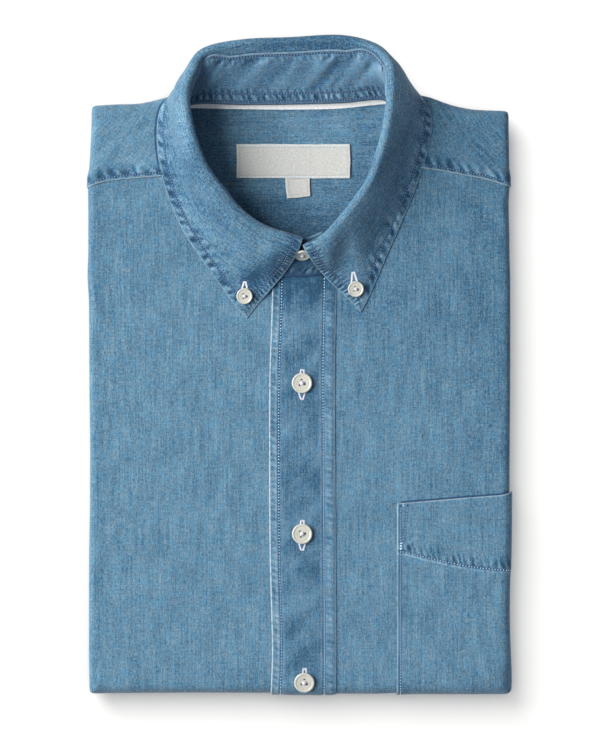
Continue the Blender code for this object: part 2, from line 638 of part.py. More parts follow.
def outline_stations():
    """Cloth coordinates round the outline, all at the far end of a fold."""
    bottom = BOTTOM_Y + EDGE_ZONE
    top = SHOULDER_Y - EDGE_ZONE
    corner = (0.25, 0.5, 0.75, 1.0)
    side_x = FLAT_HALF + SIDE_CLOTH
    stations = [(-side_x, y) for y in spread(top, bottom, 7)]
    stations += [(-side_x, bottom - END_CLOTH * step) for step in corner]
    stations += [(-FLAT_HALF - SIDE_CLOTH * step, bottom - END_CLOTH) for step in reversed(corner[:-1])]
    stations += [(x, bottom - END_CLOTH) for x in spread(-FLAT_HALF, FLAT_HALF, 5)]
    stations += [(FLAT_HALF + SIDE_CLOTH * step, bottom - END_CLOTH) for step in corner[:-1]]
    stations += [(side_x, bottom - END_CLOTH * step) for step in reversed(corner)]
    stations += [(side_x, y) for y in spread(bottom, top, 7)]
    stations += [(side_x, top + SIDE_CLOTH * step) for step in corner]
    stations += [(FLAT_HALF + SIDE_CLOTH * step, top + SIDE_CLOTH) for step in reversed(corner[:-1])]
    stations += [(x, top + SIDE_CLOTH) for x in spread(FLAT_HALF, -FLAT_HALF, 9)]
    stations += [(-FLAT_HALF - SIDE_CLOTH * step, top + SIDE_CLOTH) for step in corner[:-1]]
    stations += [(-side_x, top + SIDE_CLOTH * step) for step in reversed(corner)]
    return stations


def neck_ring(offset):
    """Neck seam seen from above as a closed line, moved inward by an offset."""
    rows = [(row[SEAM_X], row[SEAM_Y]) for row in COLLAR[:-1]]
    count = len(rows)
    ring = []
    for k in range(count):
        before = Vector(rows[k - 1])
        after = Vector(rows[(k + 1) % count])
        way = (after - before).normalized()
        ring.append(Vector(rows[k]) + Vector((way.y, -way.x)) * offset)
    return ring


def prism(outline, low, high):
    """A straight-sided solid over an outline."""
    shape = bmesh.new()
    base = shape.faces.new([shape.verts.new((p[0], p[1], low)) for p in outline])
    raised = bmesh.ops.extrude_face_region(shape, geom=[base])["geom"]
    moved = [item for item in raised if isinstance(item, bmesh.types.BMVert)]
    bmesh.ops.translate(shape, vec=(0.0, 0.0, high - low), verts=moved)
    return shape


def cut(target, cutter):
    """Take a cutter out of a solid and keep the cutter as a hidden guide."""
    cutter.hide_render = True
    cutter.display_type = "WIRE"
    modifier = target.modifiers.new("cut_" + cutter.name, "BOOLEAN")
    modifier.operation = "DIFFERENCE"
    modifier.solver = "EXACT"
    modifier.object = cutter


def make_folded_layers():
    _profile, count = layers_profile(0)
    stations = outline_stations()
    shape = bmesh.new()
    rings = []
    for step in range(count):
        profile, _count = layers_profile(step)
        rings.append([shape.verts.new(place(across, row, profile)) for across, row in stations])
    for one, two in zip(rings, rings[1:]):
        for k in range(len(stations)):
            after = (k + 1) % len(stations)
            shape.faces.new([one[k], one[after], two[after], two[k]])
    shape.faces.new(rings[0])
    shape.faces.new(rings[-1])
    layers = add_object("folded_layers", shape, DENIM_SHADED)
    hollow = prism(neck_ring(CUTTER_CLEAR), FLOOR_Z - FLOOR_DIP - CLOTH - GAP, CUTTER_TOP)
    cut(layers, add_object("neck_cutter", hollow, DENIM_SHADED))


# ---- neck hollow -------------------------------------------------------------------------
def floor_height(x, y):
    """Face of the inner yoke, a little lower in the middle of the hollow."""
    ring = math.hypot((x - NECK_MIDDLE[0]) / NECK_HALF[0], (y - NECK_MIDDLE[1]) / NECK_HALF[1])
    return FLOOR_Z - FLOOR_DIP * (1.0 - ease(ring, 0.2, 1.0))


def on_floor(x, y):
    """A point of the upper face of what lies on the inner yoke."""
    return Vector((x, y, floor_height(x, y) + GAP + LABEL_CLOTH))


def make_yoke_inner():
    edge = neck_ring(FLOOR_CLEAR)
    middle = Vector(NECK_MIDDLE)
    shape = bmesh.new()
    layers = []
    for depth in (0.0, CLOTH):
        rings = []
        for share in (0.3, 0.65, 1.0):
            points = [middle.lerp(p, share) for p in edge]
            rings.append([shape.verts.new((p.x, p.y, floor_height(p.x, p.y) - depth)) for p in points])
        centre = shape.verts.new((middle.x, middle.y, floor_height(middle.x, middle.y) - depth))
        layers.append((centre, rings))
        for k in range(len(edge)):
            after = (k + 1) % len(edge)
            shape.faces.new([centre, rings[0][k], rings[0][after]])
            for one, two in zip(rings, rings[1:]):
                shape.faces.new([one[k], two[k], two[after], one[after]])
    for k in range(len(edge)):
        after = (k + 1) % len(edge)
        upper = layers[0][1][-1]
        lower = layers[1][1][-1]
        shape.faces.new([upper[k], lower[k], lower[after], upper[after]])
    add_object("yoke_inner", shape, DENIM_SHADED)


def flat_patch(name, box, columns, rows, colour):
    """A woven patch that lies on the inner yoke."""
    ys = spread(box[1], box[3], rows)
    grid = [[on_floor(x, y) for y in ys] for x in spread(box[0], box[2], columns)]
    add_object(name, wall(grid, LABEL_CLOTH), colour)


def make_neck_tape():
    grid = []
    for x in spread(TAPE_LINE[0][0], TAPE_LINE[-1][0], 8):
        high = line_y(TAPE_LINE, x)
        grid.append([on_floor(x, high - TAPE_WIDTH), on_floor(x, high)])
    add_object("neck_tape", wall(grid, LABEL_CLOTH), WOVEN_WHITE)


# ---- collar ------------------------------------------------------------------------------
def stand_end(end, count):
    foot = Vector((end[0], end[1], height_at(end[0], end[1]) + FOOT_GAP))
    return [foot.lerp(Vector(end[2:]), k / count) for k in range(count + 1)]


def make_collar():
    rows = collar_rows()
    stops = spread(0.0, len(rows) - 1.0, COLLAR_STEPS)
    fall = [fall_section(rows, at, ROLL_PARTS, LEAF_PARTS) for at in stops]
    add_object("collar_fall", wall(fall, FALL_CLOTH), DENIM)
    stand = [stand_section(rows, at, STAND_PARTS) for at in stops]
    stand = [stand_end(STAND_END_RIGHT, STAND_PARTS)] + stand + [stand_end(STAND_END_LEFT, STAND_PARTS)]
    add_object("collar_stand", wall(stand, STAND_CLOTH), DENIM)


# ---- buttons -----------------------------------------------------------------------------
def make_button(name, radius, at, surface):
    """A turned three-hole button, dropped onto the cloth below it."""
    tree = BVHTree.FromObject(bpy.data.objects[surface], bpy.context.evaluated_depsgraph_get())
    above = Vector((at[0] * MM, at[1] * MM, DROP_HEIGHT * MM))
    hit, normal, _index, _distance = tree.ray_cast(above, Vector((0.0, 0.0, -1.0)))
    shape = bmesh.new()
    chain = []
    for share, high in BUTTON_PROFILE + ((0.0, 0.0),):
        chain.append(shape.verts.new((share * radius, 0.0, high * BUTTON_THICKNESS)))
    edges = [shape.edges.new(pair) for pair in zip(chain, chain[1:])]
    bmesh.ops.spin(shape, geom=chain + edges, cent=(0, 0, 0), axis=(0, 0, 1), angle=2.0 * math.pi,
                   steps=BUTTON_SIDES, use_merge=True)
    bmesh.ops.remove_doubles(shape, verts=shape.verts, dist=0.001)
    button = add_object(name, shape, IVORY, BUTTON_ROUGHNESS)
    holes = bmesh.new()
    for k in range(3):
        turn = math.pi / 2.0 + k * 2.0 * math.pi / 3.0
        drill = bmesh.ops.create_cone(holes, cap_ends=True, segments=HOLE_SIDES, depth=HOLE_DEPTH,
                                      radius1=HOLE_RADIUS, radius2=HOLE_RADIUS)
        away = Vector((math.cos(turn), math.sin(turn), 0.0)) * HOLE_CIRCLE * radius / FRONT_BUTTON_RADIUS
        bmesh.ops.translate(holes, vec=away, verts=drill["verts"])
    cutter = add_object(name + "_holes", holes, IVORY)
    cut(button, cutter)
    for made in (button, cutter):
        made.location = hit + normal * BUTTON_GAP * MM
        made.rotation_euler = normal.to_track_quat("Z", "Y").to_euler()


def make_buttons():
    for k, at in enumerate(FRONT_BUTTONS):
        make_button(f"button_front_{k + 1}", FRONT_BUTTON_RADIUS, at, "placket")
    make_button("button_stand", STAND_BUTTON_RADIUS, STAND_BUTTON, "collar_stand")
    for name, at in COLLAR_BUTTONS.items():
        make_button(name, COLLAR_BUTTON_RADIUS, at, "collar_fall")


def main():
    for old in list(bpy.data.objects):
        bpy.data.objects.remove(old)
    make_folded_layers()
    make_yoke_inner()
    make_fronts()
    make_yoke()
    make_placket()
    make_pocket()
    make_collar()
    make_neck_tape()
    flat_patch("label", LABEL_BOX, 8, 3, WOVEN_WHITE)
    flat_patch("size_tab", SIZE_TAB_BOX, 2, 2, WOVEN_WHITE)
    make_buttons()


main()
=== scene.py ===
"""A washed denim shirt with a button-down collar, folded for a shelf and lying face up on a white surface.

Tables are in millimetres, in the frame's axes: +X is the wearer's left, +Y the collar, +Z up from the surface.
Every cloth piece is a grid of points on a shape worked out from the tables, made into a closed shell.
"""

import math

import bmesh
import bpy
import numpy as np
from mathutils import Matrix, Vector
from mathutils.bvhtree import BVHTree


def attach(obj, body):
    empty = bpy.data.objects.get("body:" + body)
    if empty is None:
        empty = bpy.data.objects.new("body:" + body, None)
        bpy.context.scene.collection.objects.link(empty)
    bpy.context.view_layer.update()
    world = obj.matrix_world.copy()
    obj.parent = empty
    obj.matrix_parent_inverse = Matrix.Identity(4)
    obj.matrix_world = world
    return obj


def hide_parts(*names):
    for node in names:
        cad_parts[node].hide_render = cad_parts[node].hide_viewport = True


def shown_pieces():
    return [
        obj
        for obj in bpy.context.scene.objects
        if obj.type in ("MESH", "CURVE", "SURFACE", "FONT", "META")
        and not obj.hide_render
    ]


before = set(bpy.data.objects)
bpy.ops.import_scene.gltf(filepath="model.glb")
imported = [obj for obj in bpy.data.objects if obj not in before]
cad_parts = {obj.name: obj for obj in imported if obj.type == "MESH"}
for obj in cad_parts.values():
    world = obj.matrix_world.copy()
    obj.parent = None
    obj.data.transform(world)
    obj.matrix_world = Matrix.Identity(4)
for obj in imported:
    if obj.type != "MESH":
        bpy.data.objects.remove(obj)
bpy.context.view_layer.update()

MM = 0.001

# ---- the folded shirt --------------------------------------------------------------------
MIDDLE_X = -0.9
HALF_WIDTH = 126.4
BOTTOM_Y = -195.7
SHOULDER_Y = 168.0
EDGE_ZONE = 30.0       # strip along each fold that curves down
SIDE_CLOTH = 43.0      # cloth from the start of that strip to its end, at sides and shoulders
END_CLOTH = 57.0       # the same round the bottom fold
CORNER = 26.0          # how square the corners are
CORNER_SHORT = 0.08
FLAT_HALF = HALF_WIDTH - EDGE_ZONE
FLAT_LOW = BOTTOM_Y + EDGE_ZONE
FLAT_HIGH = SHOULDER_Y - EDGE_ZONE
STITCHED_LOW = FLAT_LOW - END_CLOTH * 0.93    # seams are stitched down to here
SLOPE_FROM, SLOPE_TO = 40.0, 150.0

GAP = 0.3
CLOTH = 1.2
LAYER_GAP = 0.75
FALL_CLOTH = 0.95
STAND_CLOTH = 1.6
PLACKET_CLOTH = 0.7
POCKET_CLOTH = 1.0
LABEL_CLOTH = 0.6

# Cloth round a fold: inset from the outline, height of the outer face.
SIDE_PROFILE = (
    (30.0, 22.0), (20.0, 22.0), (10.0, 22.0), (5.0, 21.9), (2.2, 21.3),
    (0.6, 19.2), (0.0, 15.8), (0.9, 12.4), (3.6, 11.0), (9.0, 10.8),
)
LEFT_PROFILE = (
    (30.0, 22.0), (20.0, 22.0), (10.0, 22.0), (4.4, 21.9), (1.9, 21.2),
    (0.5, 19.2), (0.0, 15.8), (0.8, 12.5), (3.5, 11.0), (9.0, 10.8),
)
END_PROFILE = (
    (30.0, 22.0), (20.0, 22.0), (9.0, 21.95), (4.2, 21.2), (1.4, 18.4),
    (0.0, 12.4), (0.8, 7.2), (3.6, 3.8), (8.2, 2.1), (14.5, 1.7),
)
# Edges of the layers beneath, from the front cloth's hem down to the surface.
SIDE_LAYERS = (
    (6.0, 10.4), (3.4, 9.4), (2.6, 7.9), (3.4, 6.4),
    (5.8, 5.6), (3.8, 4.6), (3.0, 3.0), (4.2, 1.1), (8.0, 0.0),
)
END_LAYERS = (
    (15.3, 1.3), (15.6, 1.1), (15.9, 0.95), (16.3, 0.8),
    (16.8, 0.6), (17.3, 0.45), (18.0, 0.3), (18.9, 0.12), (20.0, 0.0),
)
SHOULDER_LAYERS = (
    (18.5, 10.2), (16.2, 9.2), (15.4, 7.7), (16.4, 6.2),
    (19.2, 5.5), (21.6, 4.6), (21.0, 3.0), (22.2, 1.1), (26.0, 0.0),
)
SHOULDER_LINE = (
    (-127.0, 157.2), (-111.0, 158.0), (-96.0, 158.6), (-80.0, 162.2), (-60.0, 166.8), (-20.0, 168.0),
    (30.0, 168.0), (58.0, 166.4), (78.0, 162.2), (91.0, 157.6), (104.0, 154.9), (126.0, 154.0),
)
YOKE_SEAM = (
    (-127.0, 108.0), (-116.0, 111.4), (-104.8, 113.1), (-82.0, 114.9), (-60.0, 116.5),
    (50.0, 121.0), (75.0, 119.4), (90.0, 117.0), (108.0, 113.4), (125.0, 108.6),
)
# How far the outline waves from a straight one: y or x, and the shift along the other axis.
RIGHT_SIDE_WAVE = (
    (-196.0, 0.5), (-170.0, 0.5), (-140.0, 0.55), (-110.0, 0.7), (-80.0, 1.15), (-50.0, 1.2), (-20.0, 0.9),
    (10.0, 0.7), (40.0, 0.5), (55.0, -0.3), (70.0, 0.1), (101.0, 0.1), (113.0, 0.0), (121.0, 0.1), (130.0, 0.7),
    (140.0, 1.3), (150.0, 1.8), (157.0, 2.1),
)
LEFT_SIDE_WAVE = (
    (-196.0, 0.9), (-185.0, 0.8), (-170.0, 0.0), (-155.0, -0.5), (-140.0, -0.5), (-110.0, 0.2), (-80.0, 0.5),
    (-50.0, 0.7), (0.0, 1.0), (55.0, 1.0), (70.0, 0.6), (85.0, 0.5), (100.0, 0.2), (110.0, 0.1), (120.0, 0.6),
    (150.0, 0.2), (157.0, 0.0),
)
END_WAVE = (
    (-127.0, -0.9), (-110.0, -0.5), (-80.0, -0.3), (-20.0, -0.3), (22.0, -0.8), (50.0, -0.8), (66.0, 0.1),
    (126.0, 0.1),
)
WAVE_ZONE = (80.0, 126.0)    # the sides' waves begin and are full this far from the middle
END_WAVE_REACH = 60.0        # the bottom's waves fade out this far up
# Soft swells of the top: x, y, width, length, height.
SWELLS = (
    (-84.0, 62.0, 30.0, 62.0, 0.2),
    (78.0, 70.0, 34.0, 60.0, 0.8),
    (-60.0, -78.0, 44.0, 58.0, 0.2),
    (70.0, -60.0, 40.0, 40.0, 0.3),
    (-98.0, 134.0, 22.0, 16.0, 0.5),
    (92.0, 136.0, 22.0, 14.0, 0.4),
    (0.0, -20.0, 30.0, 90.0, 0.4),
    (0.0, -150.0, 60.0, 30.0, 0.4),
)
NECK_RISE = 1.0
NECK_RISE_REACH = 16.0
NECK_MIDDLE = (-7.0, 106.0)
NECK_HALF = (65.0, 52.0)

# ---- collar: one row a section, from the wearer's right end round the back to the left end ----
ON_BODY = None
COLLAR = (
    # seam_x, seam_y, crest_x, crest_y, crest_z, edge_x, edge_y, edge_z, bulge, fall
    (0.0, 57.4, 1.6, 77.0, 38.0, -31.7, 29.2, ON_BODY, 22.0, 3.0),
    (-11.0, 57.6, -8.8, 80.2, 38.4, -38.5, 36.9, ON_BODY, 32.0, 3.0),
    (-24.5, 58.8, -21.8, 85.0, 39.0, -48.4, 50.4, ON_BODY, 42.0, 3.0),
    (-38.0, 62.9, -34.6, 94.0, 40.2, -58.0, 63.6, ON_BODY, 44.0, 3.0),
    (-50.5, 71.8, -44.3, 106.0, 42.4, -69.2, 80.7, ON_BODY, 40.0, 3.0),
    (-60.8, 85.0, -54.5, 119.6, 45.2, -78.0, 99.8, ON_BODY, 32.0, 5.0),
    (-67.4, 101.0, -61.6, 135.4, 47.5, -84.0, 121.0, ON_BODY, 26.0, 10.0),
    (-70.8, 118.0, -66.4, 152.6, 48.5, -85.8, 142.0, ON_BODY, 26.0, 20.0),
    (-71.8, 134.0, -67.5, 166.4, 48.0, -83.0, 157.0, ON_BODY, 28.0, 38.0),
    (-71.0, 148.0, -63.7, 178.0, 45.0, -73.8, 167.2, 14.0, 12.0, 66.0),
    (-65.0, 158.0, -55.8, 189.7, 42.0, -57.6, 168.6, 8.0, 10.0, 62.0),
    (-33.0, 158.0, -33.0, 195.0, 38.8, -33.0, 171.0, 6.0, 10.0, 55.0),
    (-4.6, 158.2, -4.6, 196.4, 37.8, -4.7, 171.5, 6.0, 10.0, 55.0),
    (24.0, 159.0, 24.2, 197.6, 38.8, 21.3, 171.0, 6.0, 10.0, 55.0),
    (50.5, 160.6, 43.0, 192.8, 41.3, 45.6, 169.2, 8.0, 10.0, 62.0),
    (57.6, 150.0, 52.2, 184.0, 44.2, 65.4, 169.4, 14.0, 10.0, 60.0),
    (58.8, 136.0, 54.2, 171.4, 47.0, 75.4, 159.4, ON_BODY, 14.0, 30.0),
    (58.0, 121.0, 53.1, 157.6, 48.3, 79.5, 147.4, ON_BODY, 4.0, 14.0),
    (55.2, 106.0, 50.6, 142.6, 48.3, 75.9, 127.0, ON_BODY, -2.0, 7.0),
    (50.4, 91.0, 45.8, 126.0, 47.3, 69.0, 106.1, ON_BODY, -6.0, 5.0),
    (42.8, 77.6, 39.9, 111.4, 45.8, 60.0, 84.5, ON_BODY, -8.0, 4.0),
    (33.2, 66.8, 31.5, 99.1, 43.6, 52.5, 67.8, ON_BODY, -8.0, 4.0),
    (22.8, 59.6, 22.7, 87.9, 41.4, 45.6, 51.6, ON_BODY, -2.0, 4.0),
    (12.0, 56.2, 14.1, 79.0, 39.8, 40.8, 40.8, ON_BODY, 6.0, 5.0),
    (1.0, 55.0, 2.0, 72.5, 38.4, 36.5, 33.2, ON_BODY, 8.0, 5.0),
)
SEAM = slice(0, 2)
CREST = slice(2, 5)
EDGE = slice(5, 8)
CREST_X, CREST_Y, EDGE_X, EDGE_Z, BULGE, FALL = 2, 3, 5, 7, 8, 9
FOOT_GAP = 0.4
EDGE_GAP = 0.15
LEAF_REACH = 0.35
ROLL_RADIUS = 3.1
SEWN_FRONT, SEWN_BACK = 1.2, 5.6
BACK_FROM, BACK_TO = 165.0, 185.0
BACK_HALF, BACK_END = 34.0, 50.0
STAND_CLEAR = 0.1
STAND_END_RIGHT = (12.6, 60.8, 13.4, 80.6, 33.0)
STAND_END_LEFT = (-11.5, 55.0, -9.8, 69.4, 33.6)
STAND_DROP = 3.4       # how far the stand's foot reaches down inside the neck
STAND_ROWS = (1.3, 6.3)    # stitch rows above the neck seam
STAND_TOP_ROW = -1.1   # and below the fall
STAND_END_PARTS = 14   # points along each lapped end
STAND_MIDDLE = 13      # the point halfway up
FLOOR_Z = 17.4
FLOOR_DIP = 1.0
LABEL_BOX = (-37.7, 113.7, 30.1, 133.7)
LABEL_LIFT = 0.35      # it stands this much above the inner yoke
SIZE_TAB_BOX = (-8.6, 101.4, 5.8, 113.4)
TAB_UNDER_LABEL = 1.2  # of the size tab is under the label
TAPE_HIGH = ((-66.0, 159.3), (-33.0, 159.1), (-4.6, 159.3), (24.0, 159.7), (52.0, 160.8))
TAPE_LOW = ((-66.0, 155.8), (-33.0, 155.1), (-4.6, 154.9), (24.0, 155.5), (52.0, 158.2))

# ---- placket, pocket, buttons ------------------------------------------------------------
PANEL_SPLIT = 9.0
# Placket edges at a height of the cloth: y, left x, right x.
PLACKET_LINES = (
    (-260.0, -17.3, 21.7), (-196.0, -17.2, 21.6), (-170.0, -16.4, 21.7), (-110.0, -17.8, 21.4),
    (-40.0, -18.1, 21.0), (0.0, -17.8, 20.9), (30.0, -16.7, 21.4), (60.0, -16.0, 21.8),
)
PLACKET_TOP = 56.5
PLACKET_WIDTH = 39.0
PLACKET_ROW_LEFT = 5.5     # stitch rows, in from either edge
PLACKET_ROW_RIGHT = 7.0
PLACKET_PRESSED = 0.3  # its right edge is pressed thinner by this
RAISED_END = 0.95
POCKET_LEFT = 58.6
POCKET_TOP_LEFT = -82.0
POCKET_TOP_RIGHT = -76.4
POCKET_END = 0.75
POCKET_ROW = 1.8
POCKET_HEM = ((60.4, -110.2), (74.0, -113.6), (90.1, -117.2), (108.0, -120.4), (126.0, -122.0), (150.0, -123.0))
POCKET_BRACE = ((61.4, -106.0), (63.6, -94.0), (64.6, -82.6))
FRONT_BUTTONS = ((1.3, -9.5), (1.4, -99.8), (2.7, -188.6))
COLLAR_BUTTONS = ((-33.1, 42.7), (33.5, 47.0))
STAND_BUTTON = (1.4, 68.7)
STAND_BUTTON_LEAN = 0.95
FRONT_BUTTON_RADIUS = 6.1
COLLAR_BUTTON_RADIUS = 4.8
STAND_BUTTON_RADIUS = 4.7

# Creases of the top, soft and uneven: x, y, half length, turn (degrees from +X), half width, height.
CREASES = (
    (-112.0, 142.0, 16.0, 32.0, 2.6, 0.42),
    (-100.0, 136.0, 22.0, 36.0, 3.0, 0.50),
    (-104.0, 126.0, 18.0, 30.0, 2.4, -0.40),
    (-92.0, 148.0, 14.0, 40.0, 2.8, 0.40),
    (-88.0, 128.0, 16.0, 42.0, 3.2, -0.34),
    (-116.0, 126.0, 12.0, 60.0, 3.0, 0.30),
    (100.0, 140.0, 20.0, -34.0, 3.0, 0.24),
    (110.0, 128.0, 16.0, -40.0, 3.0, -0.22),
    (92.0, 130.0, 14.0, -60.0, 3.6, 0.22),
    (116.0, 142.0, 12.0, -70.0, 2.6, 0.20),
    (-60.0, 22.0, 40.0, 84.0, 7.0, 0.20),
    (-96.0, -20.0, 60.0, 92.0, 8.0, -0.18),
    (-40.0, -60.0, 44.0, 96.0, 7.0, 0.18),
    (-72.0, -120.0, 50.0, 80.0, 9.0, 0.16),
    (-104.0, -150.0, 34.0, 100.0, 8.0, 0.18),
    (44.0, -36.0, 44.0, 86.0, 7.0, -0.20),
    (74.0, -20.0, 50.0, 97.0, 8.0, 0.20),
    (106.0, 10.0, 40.0, 92.0, 8.0, -0.16),
    (40.0, 12.0, 16.0, 110.0, 4.0, 0.24),
    (52.0, -150.0, 36.0, 94.0, 7.0, 0.16),
    (-52.0, 40.0, 20.0, 60.0, 6.0, -0.16),
    (90.0, -96.0, 26.0, 80.0, 6.0, 0.16),
)
FAR = 99.0             # an edge distance that stands for no edge nearby


# ---- numbers -----------------------------------------------------------------------------
def unit(vectors):
    return vectors / np.maximum(np.linalg.norm(vectors, axis=-1, keepdims=True), 1e-9)


def dot(one, two):
    return (one * two).sum(-1, keepdims=True)


def blend(low, high, share):
    return low + (high - low) * share


def ease(value, start, end):
    """0 before start, 1 after end, and smooth between."""
    share = np.clip((np.asarray(value, float) - start) / (end - start), 0.0, 1.0)
    return share * share * (3.0 - 2.0 * share)


def fade(value, start, end):
    """1 before start, 0 after end, and smooth between."""
    return 1.0 - ease(value, start, end)


def bell(value, width):
    """1 at nought, falling off smoothly past the width."""
    return np.exp(-(value / width) ** 2)


def bump(value, middle, half):
    """1 in the middle and 0 from half away."""
    return fade(np.abs(value - middle), 0.0, half)


def row_at(rows, at):
    """Rows read at fractional indices, on a smooth curve through all of them."""
    rows = np.asarray(rows, float)
    last = len(rows) - 1
    at = np.clip(np.asarray(at, float), 0.0, last)
    first = np.minimum(at.astype(int), last - 1)
    t = (at - first)[..., None]
    p, q, r, s = (rows[np.clip(first + k, 0, last)] for k in (-1, 0, 1, 2))
    bend = (2.0 * p - 5.0 * q + 4.0 * r - s) * t * t + (3.0 * (q - r) + s - p) * t ** 3
    return 0.5 * (2.0 * q + (r - p) * t + bend)


def path_lengths(points):
    """Distance along a path from its first point."""
    steps = np.linalg.norm(np.diff(points, axis=0), axis=-1)
    return np.concatenate([[0.0], np.cumsum(steps)])


def even_path(rows, count):
    """Points evenly spaced along a smooth curve through the rows."""
    total = path_lengths(np.asarray(rows, float))
    return row_at(rows, np.interp(np.linspace(0.0, total[-1], count), total, np.arange(len(total))))


def line_at(rows, value, column=1):
    """A column of the rows at a value of their first one, on a smooth line."""
    rows = np.asarray(rows, float)
    return row_at(rows, np.interp(value, rows[:, 0], np.arange(len(rows))))[..., column]


def line_through(stops, counts):
    """Places from stop to stop, with a count of points for each stretch."""
    parts = [np.linspace(low, high, count) for low, high, count in zip(stops, stops[1:], counts)]
    return np.concatenate([part[:-1] for part in parts[:-1]] + parts[-1:])


def turned(x, y, at_x, at_y, turn):
    """Distances from a point, along a line turned by degrees and across it."""
    c, s = math.cos(math.radians(turn)), math.sin(math.radians(turn))
    return (x - at_x) * c + (y - at_y) * s, (y - at_y) * c - (x - at_x) * s


def ripple(x, y, size, seed):
    """Smooth uneven waves from -1 to 1, about size long."""
    table = np.random.RandomState(seed).uniform(-1.0, 1.0, (128, 128))
    x = np.asarray(x, float) / size + 37.3
    y = np.asarray(y, float) / size + 11.7
    i, j = np.floor(x).astype(int), np.floor(y).astype(int)
    u, v = x - i, y - j
    u, v = u * u * (3.0 - 2.0 * u), v * v * (3.0 - 2.0 * v)
    corner = [table[(i + a) % 128, (j + b) % 128] for a, b in ((0, 0), (1, 0), (0, 1), (1, 1))]
    return blend(blend(corner[0], corner[1], u), blend(corner[2], corner[3], u), v)


# ---- the top of the folded shirt ---------------------------------------------------------
SIDE_CURVE = even_path(SIDE_PROFILE, 240)
LEFT_CURVE = even_path(LEFT_PROFILE, 240)
END_CURVE = even_path(END_PROFILE, 240)


def on_curve(curve, share):
    steps = np.linspace(0.0, 1.0, len(curve))
    return np.stack([np.interp(share, steps, curve[:, k]) for k in (0, 1)], -1)


def front_profile(share, to_end, to_shoulder, on_left):
    """Inset and height of the front cloth's outer face at a share of the way round a fold."""
    corner = 4.0 * np.maximum(to_end * (1.0 - to_end), to_shoulder * (1.0 - to_shoulder))
    share = share * (1.0 - CORNER_SHORT * corner)
    side = blend(on_curve(SIDE_CURVE, share), on_curve(LEFT_CURVE, share), on_left[..., None])
    return blend(side, on_curve(END_CURVE, share), to_end[..., None])


def round_shares(across, along):
    """How far round the side folds and the end folds a place of the cloth is, with its side."""
    across, along = np.broadcast_arrays(np.asarray(across, float), np.asarray(along, float))
    round_x = np.sign(across) * np.maximum(np.abs(across) - FLAT_HALF, 0.0) / SIDE_CLOTH
    round_y = np.maximum(along - FLAT_HIGH, 0.0) / SIDE_CLOTH - np.maximum(FLAT_LOW - along, 0.0) / END_CLOTH
    return round_x, round_y


def off_folds(across, along, start, end):
    """1 on the flat top, fading from a start to an end share of the way round a fold."""
    return fade(np.maximum(*np.abs(round_shares(across, along))), start, end)


def place(across, along, profile):
    """Points for places of the cloth, with the profile that takes it round the folds."""
    across, along = np.broadcast_arrays(np.asarray(across, float), np.asarray(along, float))
    round_x, round_y = round_shares(across, along)
    far_x, far_y = np.abs(round_x), np.abs(round_y)
    share = np.maximum(far_x, far_y)
    weight = ease(np.arctan2(far_y, far_x) / (math.pi / 2.0), 0.12, 0.88)
    to_end, to_shoulder = np.where(round_y < 0.0, weight, 0.0), np.where(round_y > 0.0, weight, 0.0)
    shape = profile(share, to_end, to_shoulder, ease(across, -FLAT_HALF, FLAT_HALF))
    norm = np.where(share > 0.0, (far_x ** CORNER + far_y ** CORNER) ** (1.0 / CORNER), 1.0)
    reach = (EDGE_ZONE - shape[..., 0]) / norm
    x = MIDDLE_X + np.clip(across, -FLAT_HALF, FLAT_HALF) + round_x * reach
    y = np.clip(along, FLAT_LOW, FLAT_HIGH) + round_y * reach
    sideways = line_at(RIGHT_SIDE_WAVE, y) * ease(-x, *WAVE_ZONE) + line_at(LEFT_SIDE_WAVE, y) * ease(x, *WAVE_ZONE)
    dropped = (line_at(SHOULDER_LINE, x) - SHOULDER_Y) * ease(y, SLOPE_FROM, SLOPE_TO)
    lowered = line_at(END_WAVE, x) * fade(y, BOTTOM_Y, BOTTOM_Y + END_WAVE_REACH)
    return np.stack([x + sideways, y + dropped + lowered, shape[..., 1]], -1)


def neck_share(x, y):
    """0 in the middle of the neck and 1 on the ellipse round it."""
    return np.hypot((x - NECK_MIDDLE[0]) / NECK_HALF[0], (y - NECK_MIDDLE[1]) / NECK_HALF[1])


def swell(x, y):
    height = np.zeros_like(x)
    for at_x, at_y, wide, long, high in SWELLS:
        height += high * np.exp(-((x - at_x) / wide) ** 2 - ((y - at_y) / long) ** 2)
    return height + NECK_RISE * bell((neck_share(x, y) - 1.0) * NECK_HALF[1], NECK_RISE_REACH)


def front_point(across, along):
    points = place(across, along, front_profile)
    points[..., 2] += swell(points[..., 0], points[..., 1]) * off_folds(across, along, 0.0, 0.7)
    return points


def front_normal(across, along):
    step = 0.4
    side = FLAT_HALF + SIDE_CLOTH - 2.0 * step
    across = np.clip(across, -side, side)
    along = np.clip(along, FLAT_LOW - END_CLOTH + 2.0 * step, FLAT_HIGH + SIDE_CLOTH - 2.0 * step)
    over_x = front_point(across + step, along) - front_point(across - step, along)
    over_y = front_point(across, along + step) - front_point(across, along - step)
    return unit(np.cross(over_x, over_y))


def cloth_y(across, y):
    """The place along the cloth whose point lies at this y."""
    across, y = np.broadcast_arrays(np.asarray(across, float), np.asarray(y, float))
    low = np.full(y.shape, FLAT_LOW)
    high = np.full(y.shape, FLAT_HIGH + SIDE_CLOTH * 0.7)
    for _ in range(26):
        middle = (low + high) / 2.0
        below = front_point(across, middle)[..., 1] < y
        low, high = np.where(below, middle, low), np.where(below, high, middle)
    return low


